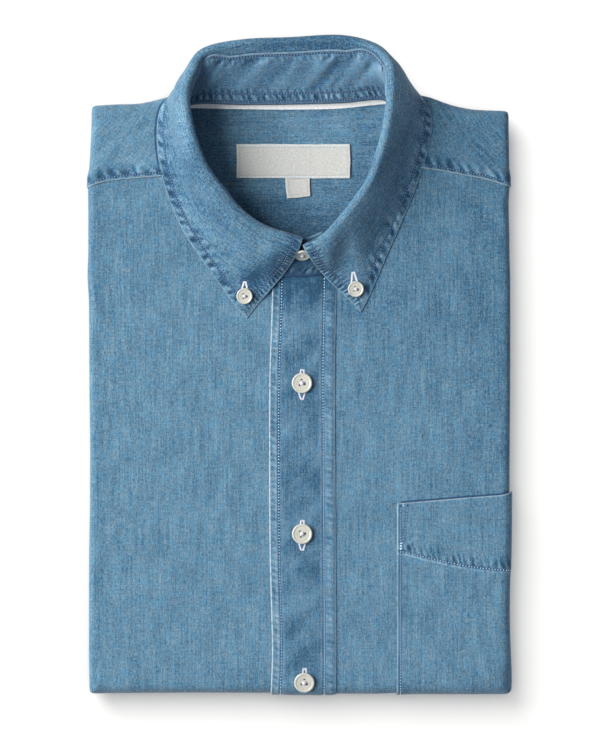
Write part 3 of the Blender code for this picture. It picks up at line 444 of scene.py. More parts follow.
def creases(x, y):
    """Height of the soft creases, less under the collar so that it stays clear of them."""
    height = 0.12 * ripple(x, y, 26.0, 4) + 0.05 * ripple(x, y * 0.4, 6.0, 5)
    for at_x, at_y, long, turn, wide, high in CREASES:
        run, off = turned(x, y, at_x, at_y, turn)
        off = off + 0.12 * long * np.sin(run / long * 2.0)
        height += high * np.exp(-(off / wide) ** 2 - (run / long) ** 4)
    covered = np.hypot((x + 5.0) / 84.0, (y - 96.0) / 74.0)
    return height * (0.25 + 0.75 * ease(covered, 0.85, 1.08))


def on_body(across, along, lift):
    """Points and normals on the top of the shirt, lifted off it along the normals."""
    normals = front_normal(across, along)
    points = front_point(across, along)
    rise = creases(points[..., 0], points[..., 1]) * off_folds(across, along, 0.35, 0.9) + lift
    return points + normals * rise[..., None], normals


def height_at(x, y):
    return front_point(x - MIDDLE_X, cloth_y(x - MIDDLE_X, y))[..., 2]


# ---- collar shape ------------------------------------------------------------------------
def collar_rows():
    """The collar table with the edges that rest on the body set at their height."""
    rows = [list(row) for row in COLLAR]
    for row in rows:
        if row[EDGE_Z] is ON_BODY:
            row[EDGE_Z] = float(height_at(*row[EDGE_X:EDGE_Z])) + EDGE_GAP + FALL_CLOTH
    return np.array(rows)


ROWS = collar_rows()
LAST_SECTION = len(ROWS) - 1.0


def collar_frames(at):
    """Where collar sections lie: their rows, neck seam, crest, edge, and the stand's and the leaf's ways."""
    row = row_at(ROWS, at)
    seam, crest, edge = row[..., SEAM], row[..., CREST], row[..., EDGE]
    run = unit(row_at(ROWS, at + 0.1)[..., CREST] - row_at(ROWS, at - 0.1)[..., CREST])
    foot = height_at(seam[..., 0], seam[..., 1]) + FOOT_GAP
    seam = np.concatenate([seam, foot[..., None]], -1)
    up, fall = (unit(way - run * dot(way, run)) for way in (crest - seam, edge - crest))
    across = unit(fall - up * dot(fall, up))
    return row, seam, crest, edge, up, fall, across


def sewn_line(row, crest, up, across):
    behind = ease(row[..., CREST_Y], BACK_FROM, BACK_TO)
    behind = behind * fade(np.abs(row[..., CREST_X] - NECK_MIDDLE[0]), BACK_HALF, BACK_END)
    sewn = blend(SEWN_FRONT, SEWN_BACK, behind)[..., None]
    return crest - up * (ROLL_RADIUS + sewn) - across * ROLL_RADIUS


def fall_grid(at, sewn_parts, roll_parts, leaf_parts):
    """Outer face of the collar's fall: sections by points, from the stand over the roll to the edge."""
    row, _seam, crest, edge, up, fall, across = collar_frames(at)
    centre = crest - up * ROLL_RADIUS
    turn = np.arccos(np.clip(dot(up, fall), -1.0, 1.0)) - np.radians(row[..., BULGE])[..., None]
    start = sewn_line(row, crest, up, across)
    roll_start = centre - across * ROLL_RADIUS
    points = [blend(start, roll_start, k / sewn_parts) for k in range(sewn_parts)]
    for k in range(roll_parts + 1):
        angle = turn * k / roll_parts
        points.append(centre + (up * np.sin(angle) - across * np.cos(angle)) * ROLL_RADIUS)
    leave = up * np.cos(turn) + across * np.sin(turn)
    level = unit((edge - crest) * np.array([1.0, 1.0, 0.0]))
    down = np.radians(row[..., FALL])[..., None]
    arrive = level * np.cos(down) - np.array([0.0, 0.0, 1.0]) * np.sin(down)
    reach = np.linalg.norm(edge - points[-1], axis=-1, keepdims=True) * LEAF_REACH
    flat = 1.0 + 0.015 * np.maximum(row[..., BULGE], 0.0)[..., None]
    a, b, c, d = points[-1], points[-1] + leave * reach, edge - arrive * reach * flat, edge
    for k in range(1, leaf_parts + 1):
        t = k / leaf_parts
        s = 1.0 - t
        points.append(a * s ** 3 + b * (3.0 * s * s * t) + c * (3.0 * s * t * t) + d * t ** 3)
    return np.stack(points, 1)


def stand_lines(at):
    """The stand's side that faces the neck: its neck seam and its top, where the fall starts."""
    row, seam, crest, _edge, up, _fall, across = collar_frames(at)
    seam[..., 2] += STAND_CLOTH * np.maximum(0.0, -across[..., 2])
    return seam, sewn_line(row, crest, up, across) - up * STAND_CLEAR


# ---- meshes ------------------------------------------------------------------------------
def make_mesh(name, points, faces, material):
    """A smooth mesh from points in millimetres and arrays of faces with equal corner counts."""
    mesh = bpy.data.meshes.new(name)
    corners = np.concatenate([np.asarray(part).ravel() for part in faces]).astype(np.int32)
    sizes = np.concatenate([np.full(len(part), np.shape(part)[1]) for part in faces])
    starts = np.concatenate([[0], np.cumsum(sizes)[:-1]]).astype(np.int32)
    mesh.vertices.add(len(points))
    mesh.vertices.foreach_set("co", (np.asarray(points) * MM).astype(np.float32).ravel())
    mesh.loops.add(len(corners))
    mesh.loops.foreach_set("vertex_index", corners)
    mesh.polygons.add(len(sizes))
    mesh.polygons.foreach_set("loop_start", starts)
    mesh.update(calc_edges=True)
    mesh.shade_smooth()
    mesh.materials.append(material)
    made = bpy.data.objects.new(name, mesh)
    bpy.context.scene.collection.objects.link(made)
    return made


def ring_quads(cell):
    """Faces between closed rings, whose points' indices are the rows of an array."""
    after = np.roll(cell, -1, 1)
    return np.stack([cell[:-1], after[:-1], after[1:], cell[1:]], -1).reshape(-1, 4)


def ring_body(name, rings, material, downward=False):
    """A closed body from rings of points, with faces over its first and last ring."""
    rows = np.array(rings)
    cell = np.arange(rows[..., 0].size).reshape(rows.shape[:2])
    faces = [ring_quads(cell), cell[:1, ::-1], cell[-1:]]
    if downward:
        faces = [faces[0][:, [0, 3, 2, 1]]] + [face[:, ::-1] for face in faces[1:]]
    return make_mesh(name, rows.reshape(-1, 3), faces, material), rows.reshape(-1, 3)


def mark(made, name, values):
    """Keep a number, or three, for each point, for the material to read."""
    values = np.asarray(values, np.float32)
    kind, field = ("FLOAT_VECTOR", "vector") if values.ndim == 2 else ("FLOAT", "value")
    made.data.attributes.new(name, kind, "POINT").data.foreach_set(field, values.ravel())


def grid_normals(points):
    """Normals of a grid of points, on the side that its first and second index turn to."""
    return unit(np.cross(np.gradient(points, axis=0), np.gradient(points, axis=1)))


def rim_of(rows, columns):
    """Indices round a grid's border, and the index just inside each."""
    border = [(i, 0) for i in range(rows)] + [(rows - 1, j) for j in range(1, columns)]
    border += [(i, columns - 1) for i in range(rows - 2, -1, -1)] + [(0, j) for j in range(columns - 2, 0, -1)]
    border = np.array(border)
    inside = np.clip(border, 1, [rows - 2, columns - 2])
    return border @ [columns, 1], inside @ [columns, 1]


def shell(name, points, normals, thickness, material, cloth, edge=FAR, rope_and_shade=0.0, row=FAR, seam=0.0, rim_parts=3):
    """A closed cloth shell whose outer face is a grid, with a rounded rim."""
    grid = points.shape[:2]
    count = points[..., 0].size
    outer, normals_flat = points.reshape(-1, 3), normals.reshape(-1, 3)
    thickness = np.broadcast_to(thickness, grid).reshape(-1, 1)
    border, inside = rim_of(*grid)
    up, thick = normals_flat[border], thickness[border]
    out = outer[border] - outer[inside]
    out = unit(out - up * dot(out, up))
    rings = []
    for angle in [math.pi * k / rim_parts for k in range(1, rim_parts)]:
        down = up * (thick * (1.0 - math.cos(angle)) / 2.0)
        rings.append(outer[border] - down + out * (thick * 0.5 * math.sin(angle)))
    verts = np.concatenate([outer, outer - normals_flat * thickness] + rings)
    cell = np.arange(count).reshape(grid)
    a, b, c, d = cell[:-1, :-1], cell[1:, :-1], cell[1:, 1:], cell[:-1, 1:]
    top = np.stack([a, b, c, d], -1).reshape(-1, 4)
    low = np.stack([a, d, c, b], -1).reshape(-1, 4) + count
    loops = [border] + [2 * count + k * len(border) + np.arange(len(border)) for k in range(rim_parts - 1)]
    loops.append(border + count)
    rim = [np.stack([np.roll(one, -1), one, two, np.roll(two, -1)], -1) for one, two in zip(loops, loops[1:])]
    faces = [top, low] + rim
    if dot(grid_normals(points), normals).mean() <= 0.0:
        faces = [part[:, ::-1] for part in faces]
    made = make_mesh(name, verts, faces, material)
    keep = np.concatenate([np.arange(count)] * 2 + [border] * (rim_parts - 1))
    for label, values, size in (("cloth", cloth, (3,)), ("edge", edge, ()), ("rope_and_shade", rope_and_shade, ()), ("row", row, ()),
                                ("seam", seam, (3,))):
        mark(made, label, np.broadcast_to(values, grid + size).reshape((count,) + size)[keep])
    return made


def seam_marks(run, across, strength):
    """Along a seam, across it, and how much its cloth puckers."""
    return np.stack(np.broadcast_arrays(run, across, strength), -1)


def cloth_marks(over, along, offset):
    """Where each point is in its cut piece: across the warp, along it, and an offset of its own."""
    over, along = np.broadcast_arrays(over, along)
    return np.stack([over, along, np.full(over.shape, offset)], -1)


def join_parts(name, parts, material):
    """One mesh from many (points, faces) parts."""
    points = []
    faces = {}
    start = 0
    for part_points, part_faces in parts:
        points.append(part_points)
        for face in part_faces:
            face = np.asarray(face)
            faces.setdefault(face.shape[1], []).append(face + start)
        start += len(part_points)
    return make_mesh(name, np.concatenate(points), [np.concatenate(faces[k]) for k in sorted(faces)], material)


# ---- thread ------------------------------------------------------------------------------
STITCH_SIDES = 6


def capsules(centres, ways, normals, lengths, radii, dip=0.5):
    """Short rounded threads, bent down into the cloth at both ends."""
    count = len(centres)
    lengths, radii = (np.broadcast_to(values, (count,))[:, None] for values in (lengths, radii))
    sideways = unit(np.cross(normals, ways))
    normals = unit(np.cross(ways, sideways))
    rings = []
    for share, wide, low in ((-0.5, 0.45, dip), (-0.3, 1.0, 0.1 * dip), (0.3, 1.0, 0.1 * dip), (0.5, 0.45, dip)):
        middle = centres + ways * (lengths * share) - normals * (radii * low * 1.6)
        for turn in [2.0 * math.pi * k / STITCH_SIDES for k in range(STITCH_SIDES)]:
            rings.append(middle + (sideways * math.cos(turn) + normals * math.sin(turn)) * (radii * wide))
    cell = np.arange(len(rings)).reshape(-1, STITCH_SIDES)
    starts = (np.arange(count) * len(rings))[:, None]
    quads = (ring_quads(cell).reshape(1, -1) + starts).reshape(-1, 4)
    ends = np.concatenate([cell[0, ::-1] + starts, cell[-1] + starts])
    return np.stack(rings, 1).reshape(-1, 3), [quads, ends]


def stitches(path, normals, pitch=1.75, length=0.66, radius=0.25, lift=0.03, seed=1):
    """A row of stitches along a path on the cloth."""
    total = path_lengths(path)
    places = np.arange(pitch, total[-1] - pitch * 0.5, pitch)
    random = np.random.RandomState(seed)
    places = places + random.uniform(-0.08, 0.08, len(places)) * pitch
    pick = lambda values, at: np.stack([np.interp(at, total, values[:, k]) for k in range(3)], -1)
    ways = unit(pick(path, places + 0.4) - pick(path, places - 0.4))
    up = unit(pick(normals, places))
    sway = random.uniform(-0.07, 0.07, (len(places), 1)) * np.cross(up, ways)
    centres = pick(path, places) + up * lift
    lengths = length * random.uniform(0.92, 1.06, len(places))
    return capsules(centres, unit(ways + sway), up, lengths, radius)


def sample(grid, at_row, at_column):
    """A grid of vectors read at fractional indices."""
    rows, columns = grid.shape[:2]
    at_row = np.clip(at_row, 0.0, rows - 1.001)
    at_column = np.clip(at_column, 0.0, columns - 1.001)
    i, j = at_row.astype(int), at_column.astype(int)
    u, v = (at_row - i)[..., None], (at_column - j)[..., None]
    return blend(blend(grid[i, j], grid[i + 1, j], u), blend(grid[i, j + 1], grid[i + 1, j + 1], u), v)


# ---- materials ---------------------------------------------------------------------------
class Sketch:
    """A node tree written as short calls."""

    def __init__(self, tree):
        self.tree = tree

    def feed(self, node, values):
        """Give a node's inputs what they take: a link from a socket, or a plain value."""
        for key, value in dict(values).items():
            if isinstance(value, bpy.types.NodeSocket):
                self.tree.links.new(value, node.inputs[key])
            else:
                node.inputs[key].default_value = value
        return node

    def node(self, kind, values=(), **settings):
        made = self.tree.nodes.new(kind)
        for key, value in settings.items():
            setattr(made, key, value)
        return self.feed(made, values)

    def math(self, operation, one, two=0.0, three=0.0, clamp=False):
        return self.node("ShaderNodeMath", {0: one, 1: two, 2: three}, operation=operation, use_clamp=clamp).outputs[0]

    def times(self, one, two, plus=None, clamp=False):
        """One times two, plus a third where there is one."""
        if plus is None:
            return self.math("MULTIPLY", one, two, clamp=clamp)
        return self.math("MULTIPLY_ADD", one, two, plus, clamp)

    def ramp(self, value, start, end, low=0.0, high=1.0):
        values = {0: value, 1: start, 2: end, 3: low, 4: high}
        return self.node("ShaderNodeMapRange", values, interpolation_type="SMOOTHSTEP").outputs[0]

    def noise(self, place, scale, detail=2.0, roughness=0.55):
        stretched = self.node("ShaderNodeVectorMath", {0: place, 1: scale}, operation="MULTIPLY").outputs[0]
        values = {"Vector": stretched, "Scale": 1.0, "Detail": detail, "Roughness": roughness}
        return self.node("ShaderNodeTexNoise", values).outputs["Fac"]

    def mix(self, share, one, two, way="MIX"):
        return self.node("ShaderNodeMix", {0: share, 6: one, 7: two}, data_type="RGBA", blend_type=way).outputs[2]

    def read(self, name, vector=False):
        return self.node("ShaderNodeAttribute", attribute_name=name).outputs["Vector" if vector else "Fac"]

    def split(self, vector):
        return self.node("ShaderNodeSeparateXYZ", {0: vector}).outputs

    def yarns(self, cloth, turn_over, turn_along):
        """Crossing waves, as yarns rise and dive in a weave."""
        over, along = (self.math("SINE", self.times(part, turn)) for part, turn in zip(
            self.split(cloth), (turn_over, turn_along)))
        return self.times(over, along)

    def relief(self, height, strength, distance, under=None):
        """A normal raised by a height, on another one where there is one; the distance is in metres."""
        node = self.node("ShaderNodeBump", {"Height": height, "Strength": strength, "Distance": distance})
        return self.feed(node, {} if under is None else {"Normal": under}).outputs["Normal"]


def new_group(name, inputs, outputs):
    """A node group, its inputs with their plain values (none for a vector) and its outputs with their kinds."""
    tree = bpy.data.node_groups.new(name, "ShaderNodeTree")
    for label, value in inputs.items():
        kind = "Vector" if value is None else "Color" if np.ndim(value) else "Float"
        socket = tree.interface.new_socket(label, in_out="INPUT", socket_type="NodeSocket" + kind)
        if value is not None:
            socket.default_value = value
    for label, kind in outputs.items():
        tree.interface.new_socket(label, in_out="OUTPUT", socket_type="NodeSocket" + kind)
    sketch = Sketch(tree)
    return tree, sketch, sketch.node("NodeGroupInput").outputs


def make_weave_group():
    """Plain weave with uneven warp and weft yarns: how pale each place is, and how high the yarns stand."""
    tree, s, given = new_group(
        "denim_weave", {"Cloth": None, "Slub": 1.0, "Grain": 1.0, "Pitch": 0.42}, {"Tone": "Float", "Height": "Float"})
    turn = s.math("DIVIDE", math.pi, given["Pitch"])
    yarn = s.yarns(given["Cloth"], turn, turn)
    tone = 0.5
    # Warp, fine warp, weft, patches and grain: stretch, detail, roughness, weight, and the input that scales it.
    for stretch, detail, roughness, weight, share in (
        ((0.9, 0.035, 1.0), 3.0, 0.6, 1.0, "Slub"), ((1.7, 0.3, 1.0), 2.0, 0.6, 1.1, "Grain"),
        ((0.12, 1.4, 1.0), 2.0, 0.6, 0.6, "Grain"), ((0.09, 0.05, 1.0), 4.0, 0.6, 0.65, "Slub"),
        ((1.15, 0.85, 1.0), 3.0, 0.75, 1.9, "Grain"),
    ):
        part = s.noise(given["Cloth"], stretch, detail, roughness)
        tone = s.times(s.times(s.math("SUBTRACT", part, 0.5), given[share]), weight, tone)
    tone = s.times(s.times(yarn, given["Grain"]), 0.06, tone)
    # The grain, which came last, stands up as well.
    height = s.times(s.math("ABSOLUTE", yarn), 0.5, s.times(part, 0.8))
    s.node("NodeGroupOutput", {"Tone": tone, "Height": height})
    return tree


PUCKER_PITCH = 3.9     # from one pucker of a seam to the next
PUCKER_SLANT = 0.5


def make_pucker_group():
    """Short ridges and troughs that run across a seam, as it shrinks in the wash: tone and height."""
    tree, s, given = new_group("seam_puckers", {"Seam": None}, {"Tone": "Float", "Height": "Float"})
    run, off, strength = s.split(given["Seam"])
    place_of = s.node("ShaderNodeCombineXYZ", {0: run, 1: off, 2: 0.0}).outputs[0]
    wander = s.noise(place_of, (0.11, 0.10, 1.0), 2.0, 0.5)
    often = s.noise(place_of, (0.16, 0.12, 5.0), 1.0)
    fine = s.noise(place_of, (0.6, 0.16, 1.0), 2.0, 0.5)
    turns = s.times(run, 2.0 * math.pi / PUCKER_PITCH, s.times(off, PUCKER_SLANT))
    bars = s.math("SINE", s.times(wander, 7.0, turns))
    value = s.times(s.math("SUBTRACT", bars, 0.15), s.ramp(often, 0.3, 0.65, 0.5, 1.5))
    value = s.times(s.times(s.math("SUBTRACT", fine, 0.5), 3.2, value), strength)
    s.node("NodeGroupOutput", {"Tone": s.times(strength, -0.2, value), "Height": value})
    return tree


def make_fade_and_shade_group():
    """Indigo that has washed out: pale at worn edges, dark in the troughs of roped seams; painted shade comes in with
    the rope tone, and as dark lines along stitch grooves and narrow gaps.
    """
    tree, s, given = new_group("washed_indigo_and_shade", {
        "Tone": 0.5, "Rope_and_shade": 0.0, "Edge": FAR, "Cloth": None, "Deep": (0.024, 0.066, 0.112, 1.0),
        "Pale": (0.124, 0.232, 0.318, 1.0), "Worn": (0.22, 0.29, 0.34, 1.0), "Wear": 0.8, "Roping": 0.4, "Shade_line": FAR,
    }, {"Color": "Color"})
    # Painted shade: dark lines where stitch rows sink into the cloth and along narrow gaps.
    groove = s.ramp(s.math("ABSOLUTE", given["Shade_line"]), 0.9, 0.25)
    tone = s.times(groove, -0.42, s.times(given["Rope_and_shade"], given["Roping"], given["Tone"]))
    body = s.mix(s.math("ADD", tone, 0.0, clamp=True), given["Deep"], given["Pale"])
    # Below the deepest dye the cloth is only in shade, and its weave still shows.
    body = s.mix(1.0, body, s.ramp(tone, 0.15, -0.85, 1.0, 0.5), "MULTIPLY")
    hue = s.ramp(s.noise(given["Cloth"], (0.26, 0.16, 1.0), 3.0, 0.65), 0.25, 0.75)
    body = s.mix(1.0, body, s.mix(hue, (0.79, 1.0, 1.075, 1.0), (1.2, 1.0, 0.925, 1.0)), "MULTIPLY")
    body = s.mix(s.ramp(tone, 0.85, 1.5, 0.0, 0.6), body, given["Worn"])
    body = s.mix(s.times(groove, 0.7), body, (0.011, 0.044, 0.115, 1.0))
    uneven = s.ramp(s.noise(given["Cloth"], (0.35, 0.35, 1.0), 2.0), 0.25, 0.6, 0.35, 1.0)
    worn = s.times(s.times(s.ramp(given["Edge"], 0.55, 0.0), uneven), given["Wear"], clamp=True)
    s.node("NodeGroupOutput", {"Color": s.mix(worn, body, given["Worn"])})
    return tree


def plain_material(name, roughness, **values):
    """A material, its shader and a sketch of its nodes; values are named as the shader's inputs."""
    made = bpy.data.materials.new(name)
    made.use_nodes = True
    sketch = Sketch(made.node_tree)
    shader = made.node_tree.nodes["Principled BSDF"]
    sketch.feed(shader, {"Roughness": roughness, **{key.replace("_", " "): value for key, value in values.items()}})
    return made, shader, sketch


def solid(colour, by=1.0):
    return tuple(min(1.0, by * part) for part in colour) + (1.0,)


def denim_material(name, deep, pale, slub=1.0, grain=1.0, wear=0.8, roping=0.4, worn=(0.22, 0.29, 0.34)):
    """Washed denim."""
    made, shader, s = plain_material(name, 0.86, Sheen_Weight=0.12, Sheen_Roughness=0.5, Specular_IOR_Level=0.25)
    cloth = s.read("cloth", True)
    yarns = s.node("ShaderNodeGroup", {"Cloth": cloth, "Slub": slub, "Grain": grain}, node_tree=WEAVE).outputs
    puckers = s.node("ShaderNodeGroup", {"Seam": s.read("seam", True)}, node_tree=PUCKERS).outputs
    rope_and_shade = s.math("ADD", s.read("rope_and_shade"), puckers["Tone"])
    tint = s.node("ShaderNodeGroup", {
        "Tone": yarns["Tone"], "Rope_and_shade": rope_and_shade, "Edge": s.read("edge"), "Shade_line": s.read("row"), "Cloth": cloth,
        "Deep": solid(deep), "Pale": solid(pale), "Worn": solid(worn), "Wear": wear, "Roping": roping,
    }, node_tree=FADE_AND_SHADE).outputs["Color"]
    ridges = s.relief(puckers["Height"], 1.0, 0.0002)
    s.feed(shader, {"Base Color": tint, "Normal": s.relief(yarns["Height"], 0.35, 0.00018, ridges)})
    return made


def thread_material(name, colour):
    made, shader, s = plain_material(name, 0.7, Sheen_Weight=0.2)
    uneven = s.noise(s.node("ShaderNodeTexCoord").outputs["Object"], (900.0, 900.0, 900.0), 2.0)
    s.feed(shader, {"Base Color": s.mix(s.ramp(uneven, 0.3, 0.7, 0.82, 1.0), solid(colour, 0.72), solid(colour))})
    return made


def woven_material(name, colour, pitch):
    """Off-white woven tape: fine ribs across and along."""
    made, shader, s = plain_material(name, 0.75, Sheen_Weight=0.15)
    cloth = s.read("cloth", True)
    ribs = s.yarns(cloth, math.pi / pitch, math.pi / (pitch * 0.8))
    blotch = s.noise(cloth, (0.5, 0.5, 1.0), 3.0, 0.6)
    fibre = s.noise(cloth, (0.7, 1.5, 1.0), 3.0, 0.7)
    tone = s.times(ribs, 0.10, s.times(blotch, 0.4, s.times(fibre, 2.6, -1.1)))
    tone = s.times(s.read("rope_and_shade"), 0.5, tone, clamp=True)
    tint = s.mix(tone, solid(colour, 0.74), solid(colour, 1.14))
    s.feed(shader, {"Base Color": tint, "Normal": s.relief(ribs, 0.3, 0.00012)})
    return made


def button_material():
    made, shader, s = plain_material(
        "ivory_button", 0.28, Coat_Weight=0.25, Coat_Roughness=0.15, Subsurface_Weight=0.08,
        Subsurface_Radius=(0.002, 0.002, 0.0015))
    place_of = s.node("ShaderNodeTexCoord").outputs["Object"]
    cloud = s.noise(place_of, (260.0, 260.0, 260.0), 3.0, 0.6)
    fleck = s.noise(place_of, (1300.0, 500.0, 900.0), 2.0, 0.6)
    share = s.times(cloud, 0.8, s.times(fleck, 0.3), clamp=True)
    tint = s.mix(share, (0.33, 0.33, 0.285, 1.0), (0.5, 0.5, 0.445, 1.0))
    s.feed(shader, {"Base Color": tint, "Roughness": s.ramp(fleck, 0.3, 0.7, 0.22, 0.36)})
    return made


WEAVE = make_weave_group()
PUCKERS = make_pucker_group()
FADE_AND_SHADE = make_fade_and_shade_group()
DENIM = denim_material("washed_denim", (0.013, 0.063, 0.122), (0.132, 0.248, 0.335))
DENIM_PLACKET = denim_material(
    "placket_denim", (0.010, 0.056, 0.113), (0.111, 0.216, 0.306), wear=1.0, roping=0.34, worn=(0.31, 0.38, 0.42))
DENIM_COLLAR = denim_material(
    "collar_denim", (0.011, 0.058, 0.117), (0.124, 0.236, 0.325), grain=1.4, wear=0.5, roping=0.44)
DENIM_STAND = denim_material(
    "stand_denim", (0.016, 0.060, 0.118), (0.118, 0.230, 0.330), slub=0.7, wear=0.6, roping=0.44)
DENIM_INSIDE = denim_material("inside_denim", (0.017, 0.061, 0.118), (0.116, 0.232, 0.330), slub=1.1, grain=1.2)
TAPE = woven_material("neck_tape_white", (0.93, 0.93, 0.9), 0.5)
DENIM_HIDDEN = denim_material("folded_denim", (0.018, 0.062, 0.118), (0.118, 0.230, 0.330), wear=0.5)
THREAD = thread_material("pale_thread", (0.27, 0.33, 0.43))
WHITE_THREAD = thread_material("white_thread", (0.62, 0.82, 0.99))
COLLAR_THREAD = thread_material("blue_thread", (0.28, 0.34, 0.46))
BUTTON_THREAD = thread_material("lilac_thread", (0.52, 0.515, 0.58))
WOVEN = woven_material("off_white_tape", (0.47, 0.475, 0.455), 0.5)
IVORY = button_material()


# ---- panels ------------------------------------------------------------------------------
def ring_rows(first, last):
    return sorted((row[0], row[1]) for row in COLLAR[first:last + 1])


NECK_FRONT = ring_rows(0, 8) + ring_rows(16, 24)
NECK_BACK = ring_rows(9, 15)
COLLAR_SIDE = [(row[6], row[5]) for row in COLLAR[5:10]]
FINE = 1.3             # spacing of the panels' points
FOLD_PARTS = 34        # points round a side fold
END_PARTS = 44         # points round the bottom fold
YOKE_LAP = 1.6         # the yoke lies over the fronts by this much
YOKE_LIFT = 0.85       # its folded edge stands this much above them
YOKE_ROW = 2.0         # its stitches are this far in
YOKE_SLANT = 38.0      # its warp leans by this many degrees on either shoulder
SIDE_FOLD = SIDE_CLOTH * np.linspace(0.0, 1.0, FOLD_PARTS + 1)[1:]


def rows_through(stops, counts):
    """A grid of places along the cloth: each column runs through its own stops, with a count of points for each."""
    parts = []
    for low, high, count in zip(stops, stops[1:], counts):
        parts.append(low[:, None] + (high - low)[:, None] * np.linspace(0.0, 1.0, count)[None, :])
    return np.concatenate([part[:, :-1] for part in parts[:-1]] + parts[-1:], 1)


def spread(column, grid):
    """A value for each row of a grid, repeated along the row."""
    return column[:, None] + np.zeros_like(grid)


def front_top(x):
    """y where a front ends: a little under the yoke, or at the neck."""
    seam = line_at(YOKE_SEAM, x) + YOKE_LAP
    neck = (x > NECK_FRONT[0][0]) & (x < NECK_FRONT[-1][0])
    return np.where(neck, np.minimum(seam, line_at(NECK_FRONT, x)), seam)


def front_painted_shade(x, y):
    """Painted shade on the fronts: darker beside the collar and the placket on the wearer's left, and towards that
    folded edge, for the collar's shadow and the light's falloff; darker on the lit fold of the wearer's right; a little
    darker high on the wearer's right front.
    """
    tone = -0.16 * ease(-x, 20.0, 80.0) * ease(y, 10.0, 90.0) - 0.25 * ease(-x, 115.0, 122.0)
    tone = tone - 0.34 * ease(x, 22.0, 60.0) * ease(y, -70.0, 50.0) * (1.0 - 0.25 * ease(x, 60.0, 100.0))
    tone = tone - 0.22 * ease(x, 84.0, 120.0)
    return tone - 0.45 * ease(x, 20.0, 26.0) * fade(x, 30.0, 54.0) * bump(y, 44.0, 34.0)


def make_front(name, across, offset):
    top = cloth_y(across, front_top(MIDDLE_X + across))
    round_end = FLAT_LOW - END_CLOTH * np.linspace(1.0, 0.0, END_PARTS + 1)[None, :-1].repeat(len(across), 0)
    flat = rows_through((np.full(len(across), FLAT_LOW), top), (int((top.max() - FLAT_LOW) / FINE),))
    along = np.concatenate([round_end, flat], 1)
    across = spread(across, along)
    points, normals = on_body(across, along, 0.0)
    # The pocket's open edge stands off the front; painted shade darkens the front in the gap under it.
    mouth = np.where(across > POCKET_LOW + 1.0, along - pocket_top(across) - 0.9, FAR)
    return shell(name, points, normals, CLOTH, DENIM, cloth_marks(across, along, offset),
                 rope_and_shade=front_painted_shade(points[..., 0], points[..., 1]), row=mouth)


def make_fronts():
    right = np.concatenate([-FLAT_HALF - SIDE_FOLD[::-1], np.arange(-FLAT_HALF, PANEL_SPLIT, FINE), [PANEL_SPLIT]])
    left = np.concatenate([
        [PANEL_SPLIT + GAP], np.arange(PANEL_SPLIT + GAP + FINE, FLAT_HALF - 0.5, FINE), [FLAT_HALF],
        FLAT_HALF + SIDE_FOLD,
    ])
    return make_front("front_right_cloth", right, 3.0), make_front("front_left_cloth", left, 11.0)


def yoke_low(x):
    """y where the yoke starts: its folded edge over the fronts, or behind the neck."""
    seam = line_at(YOKE_SEAM, x)
    behind = (x > NECK_BACK[0][0]) & (x < NECK_BACK[-1][0])
    return np.where(behind, np.maximum(seam, line_at(NECK_BACK, x)), seam)


def yoke_surface(across, along, from_edge):
    """The yoke's outer face: a thick folded edge, roped above its stitches."""
    rope_and_shade = ripple(across, from_edge * 0.35, 5.2, 21) * 0.8 + ripple(across, from_edge * 0.2, 10.0, 22) * 0.5 - 0.15
    rope_and_shade = rope_and_shade * ease(from_edge, 1.6, 3.4) * fade(from_edge, 6.0, 12.5)
    lift = YOKE_LIFT * fade(from_edge, 6.0, 13.0) + 0.22 * rope_and_shade - 0.2 * bell(from_edge - YOKE_ROW, 0.7)
    points, normals = on_body(across, along, lift)
    puckered = ease(from_edge, 0.2, 1.2) * fade(from_edge, 3.0, 11.0)
    # Painted shade: the yoke darkens towards the wearer's left shoulder, from about x = 40 mm, for the collar's shadow
    # there.
    rope_and_shade = rope_and_shade - 0.42 * ease(points[..., 0], 40.0, 70.0)
    return points, normals, rope_and_shade, seam_marks(0.6 * across + 300.0, 0.8 * from_edge, 0.8 * puckered)


def make_yoke():
    across = np.concatenate([
        -FLAT_HALF - SIDE_FOLD[::-1], np.arange(-FLAT_HALF, FLAT_HALF - 0.5, FINE), [FLAT_HALF], FLAT_HALF + SIDE_FOLD,
    ])
    low = cloth_y(across, yoke_low(MIDDLE_X + across))
    seam = cloth_y(across, line_at(YOKE_SEAM, MIDDLE_X + across))[:, None]
    high = np.full(len(across), FLAT_HIGH + SIDE_CLOTH)
    along = rows_through((low, low + YOKE_ROW, low + np.minimum(13.0, (high - low) * 0.4), high), (4, 16, 56))
    across = spread(across, along)
    points, normals, rope_and_shade, puckers = yoke_surface(across, along, along - seam)
    # The yoke is cut in two on the slant, so its warp leans.
    lean = np.radians(np.where(across < 0.0, -YOKE_SLANT, YOKE_SLANT))
    over = across * np.cos(lean) + along * np.sin(lean)
    cloth = cloth_marks(over, along * np.cos(lean) - across * np.sin(lean), 23.0)
    stands_free = low[:, None] - seam < 1.0
    edge = np.where(stands_free, along - seam, FAR)
    row = np.where(stands_free, along - seam - YOKE_ROW, FAR)
    # Painted shade darkens the narrow gap beside the collar's edge.
    gap = points[..., 0] - line_at(COLLAR_SIDE, points[..., 1]) + 0.7
    beside = (points[..., 1] > 112.0) & (points[..., 1] < 164.0) & (np.abs(gap) < np.abs(row))
    puckers[..., 2] *= stands_free
    return shell("yoke_cloth", points, normals, CLOTH, DENIM, cloth, edge, rope_and_shade, np.where(beside, gap, row), puckers)


def placket_edges(along):
    """Left and right edge of the placket at places along the cloth."""
    return line_at(PLACKET_LINES, along, 1) - MIDDLE_X, line_at(PLACKET_LINES, along, 2) - MIDDLE_X


def placket_rows(along):
    """Shares of the placket's width at which its two stitch rows run."""
    left, right = placket_edges(along)
    return PLACKET_ROW_LEFT / (right - left), 1.0 - PLACKET_ROW_RIGHT / (right - left)


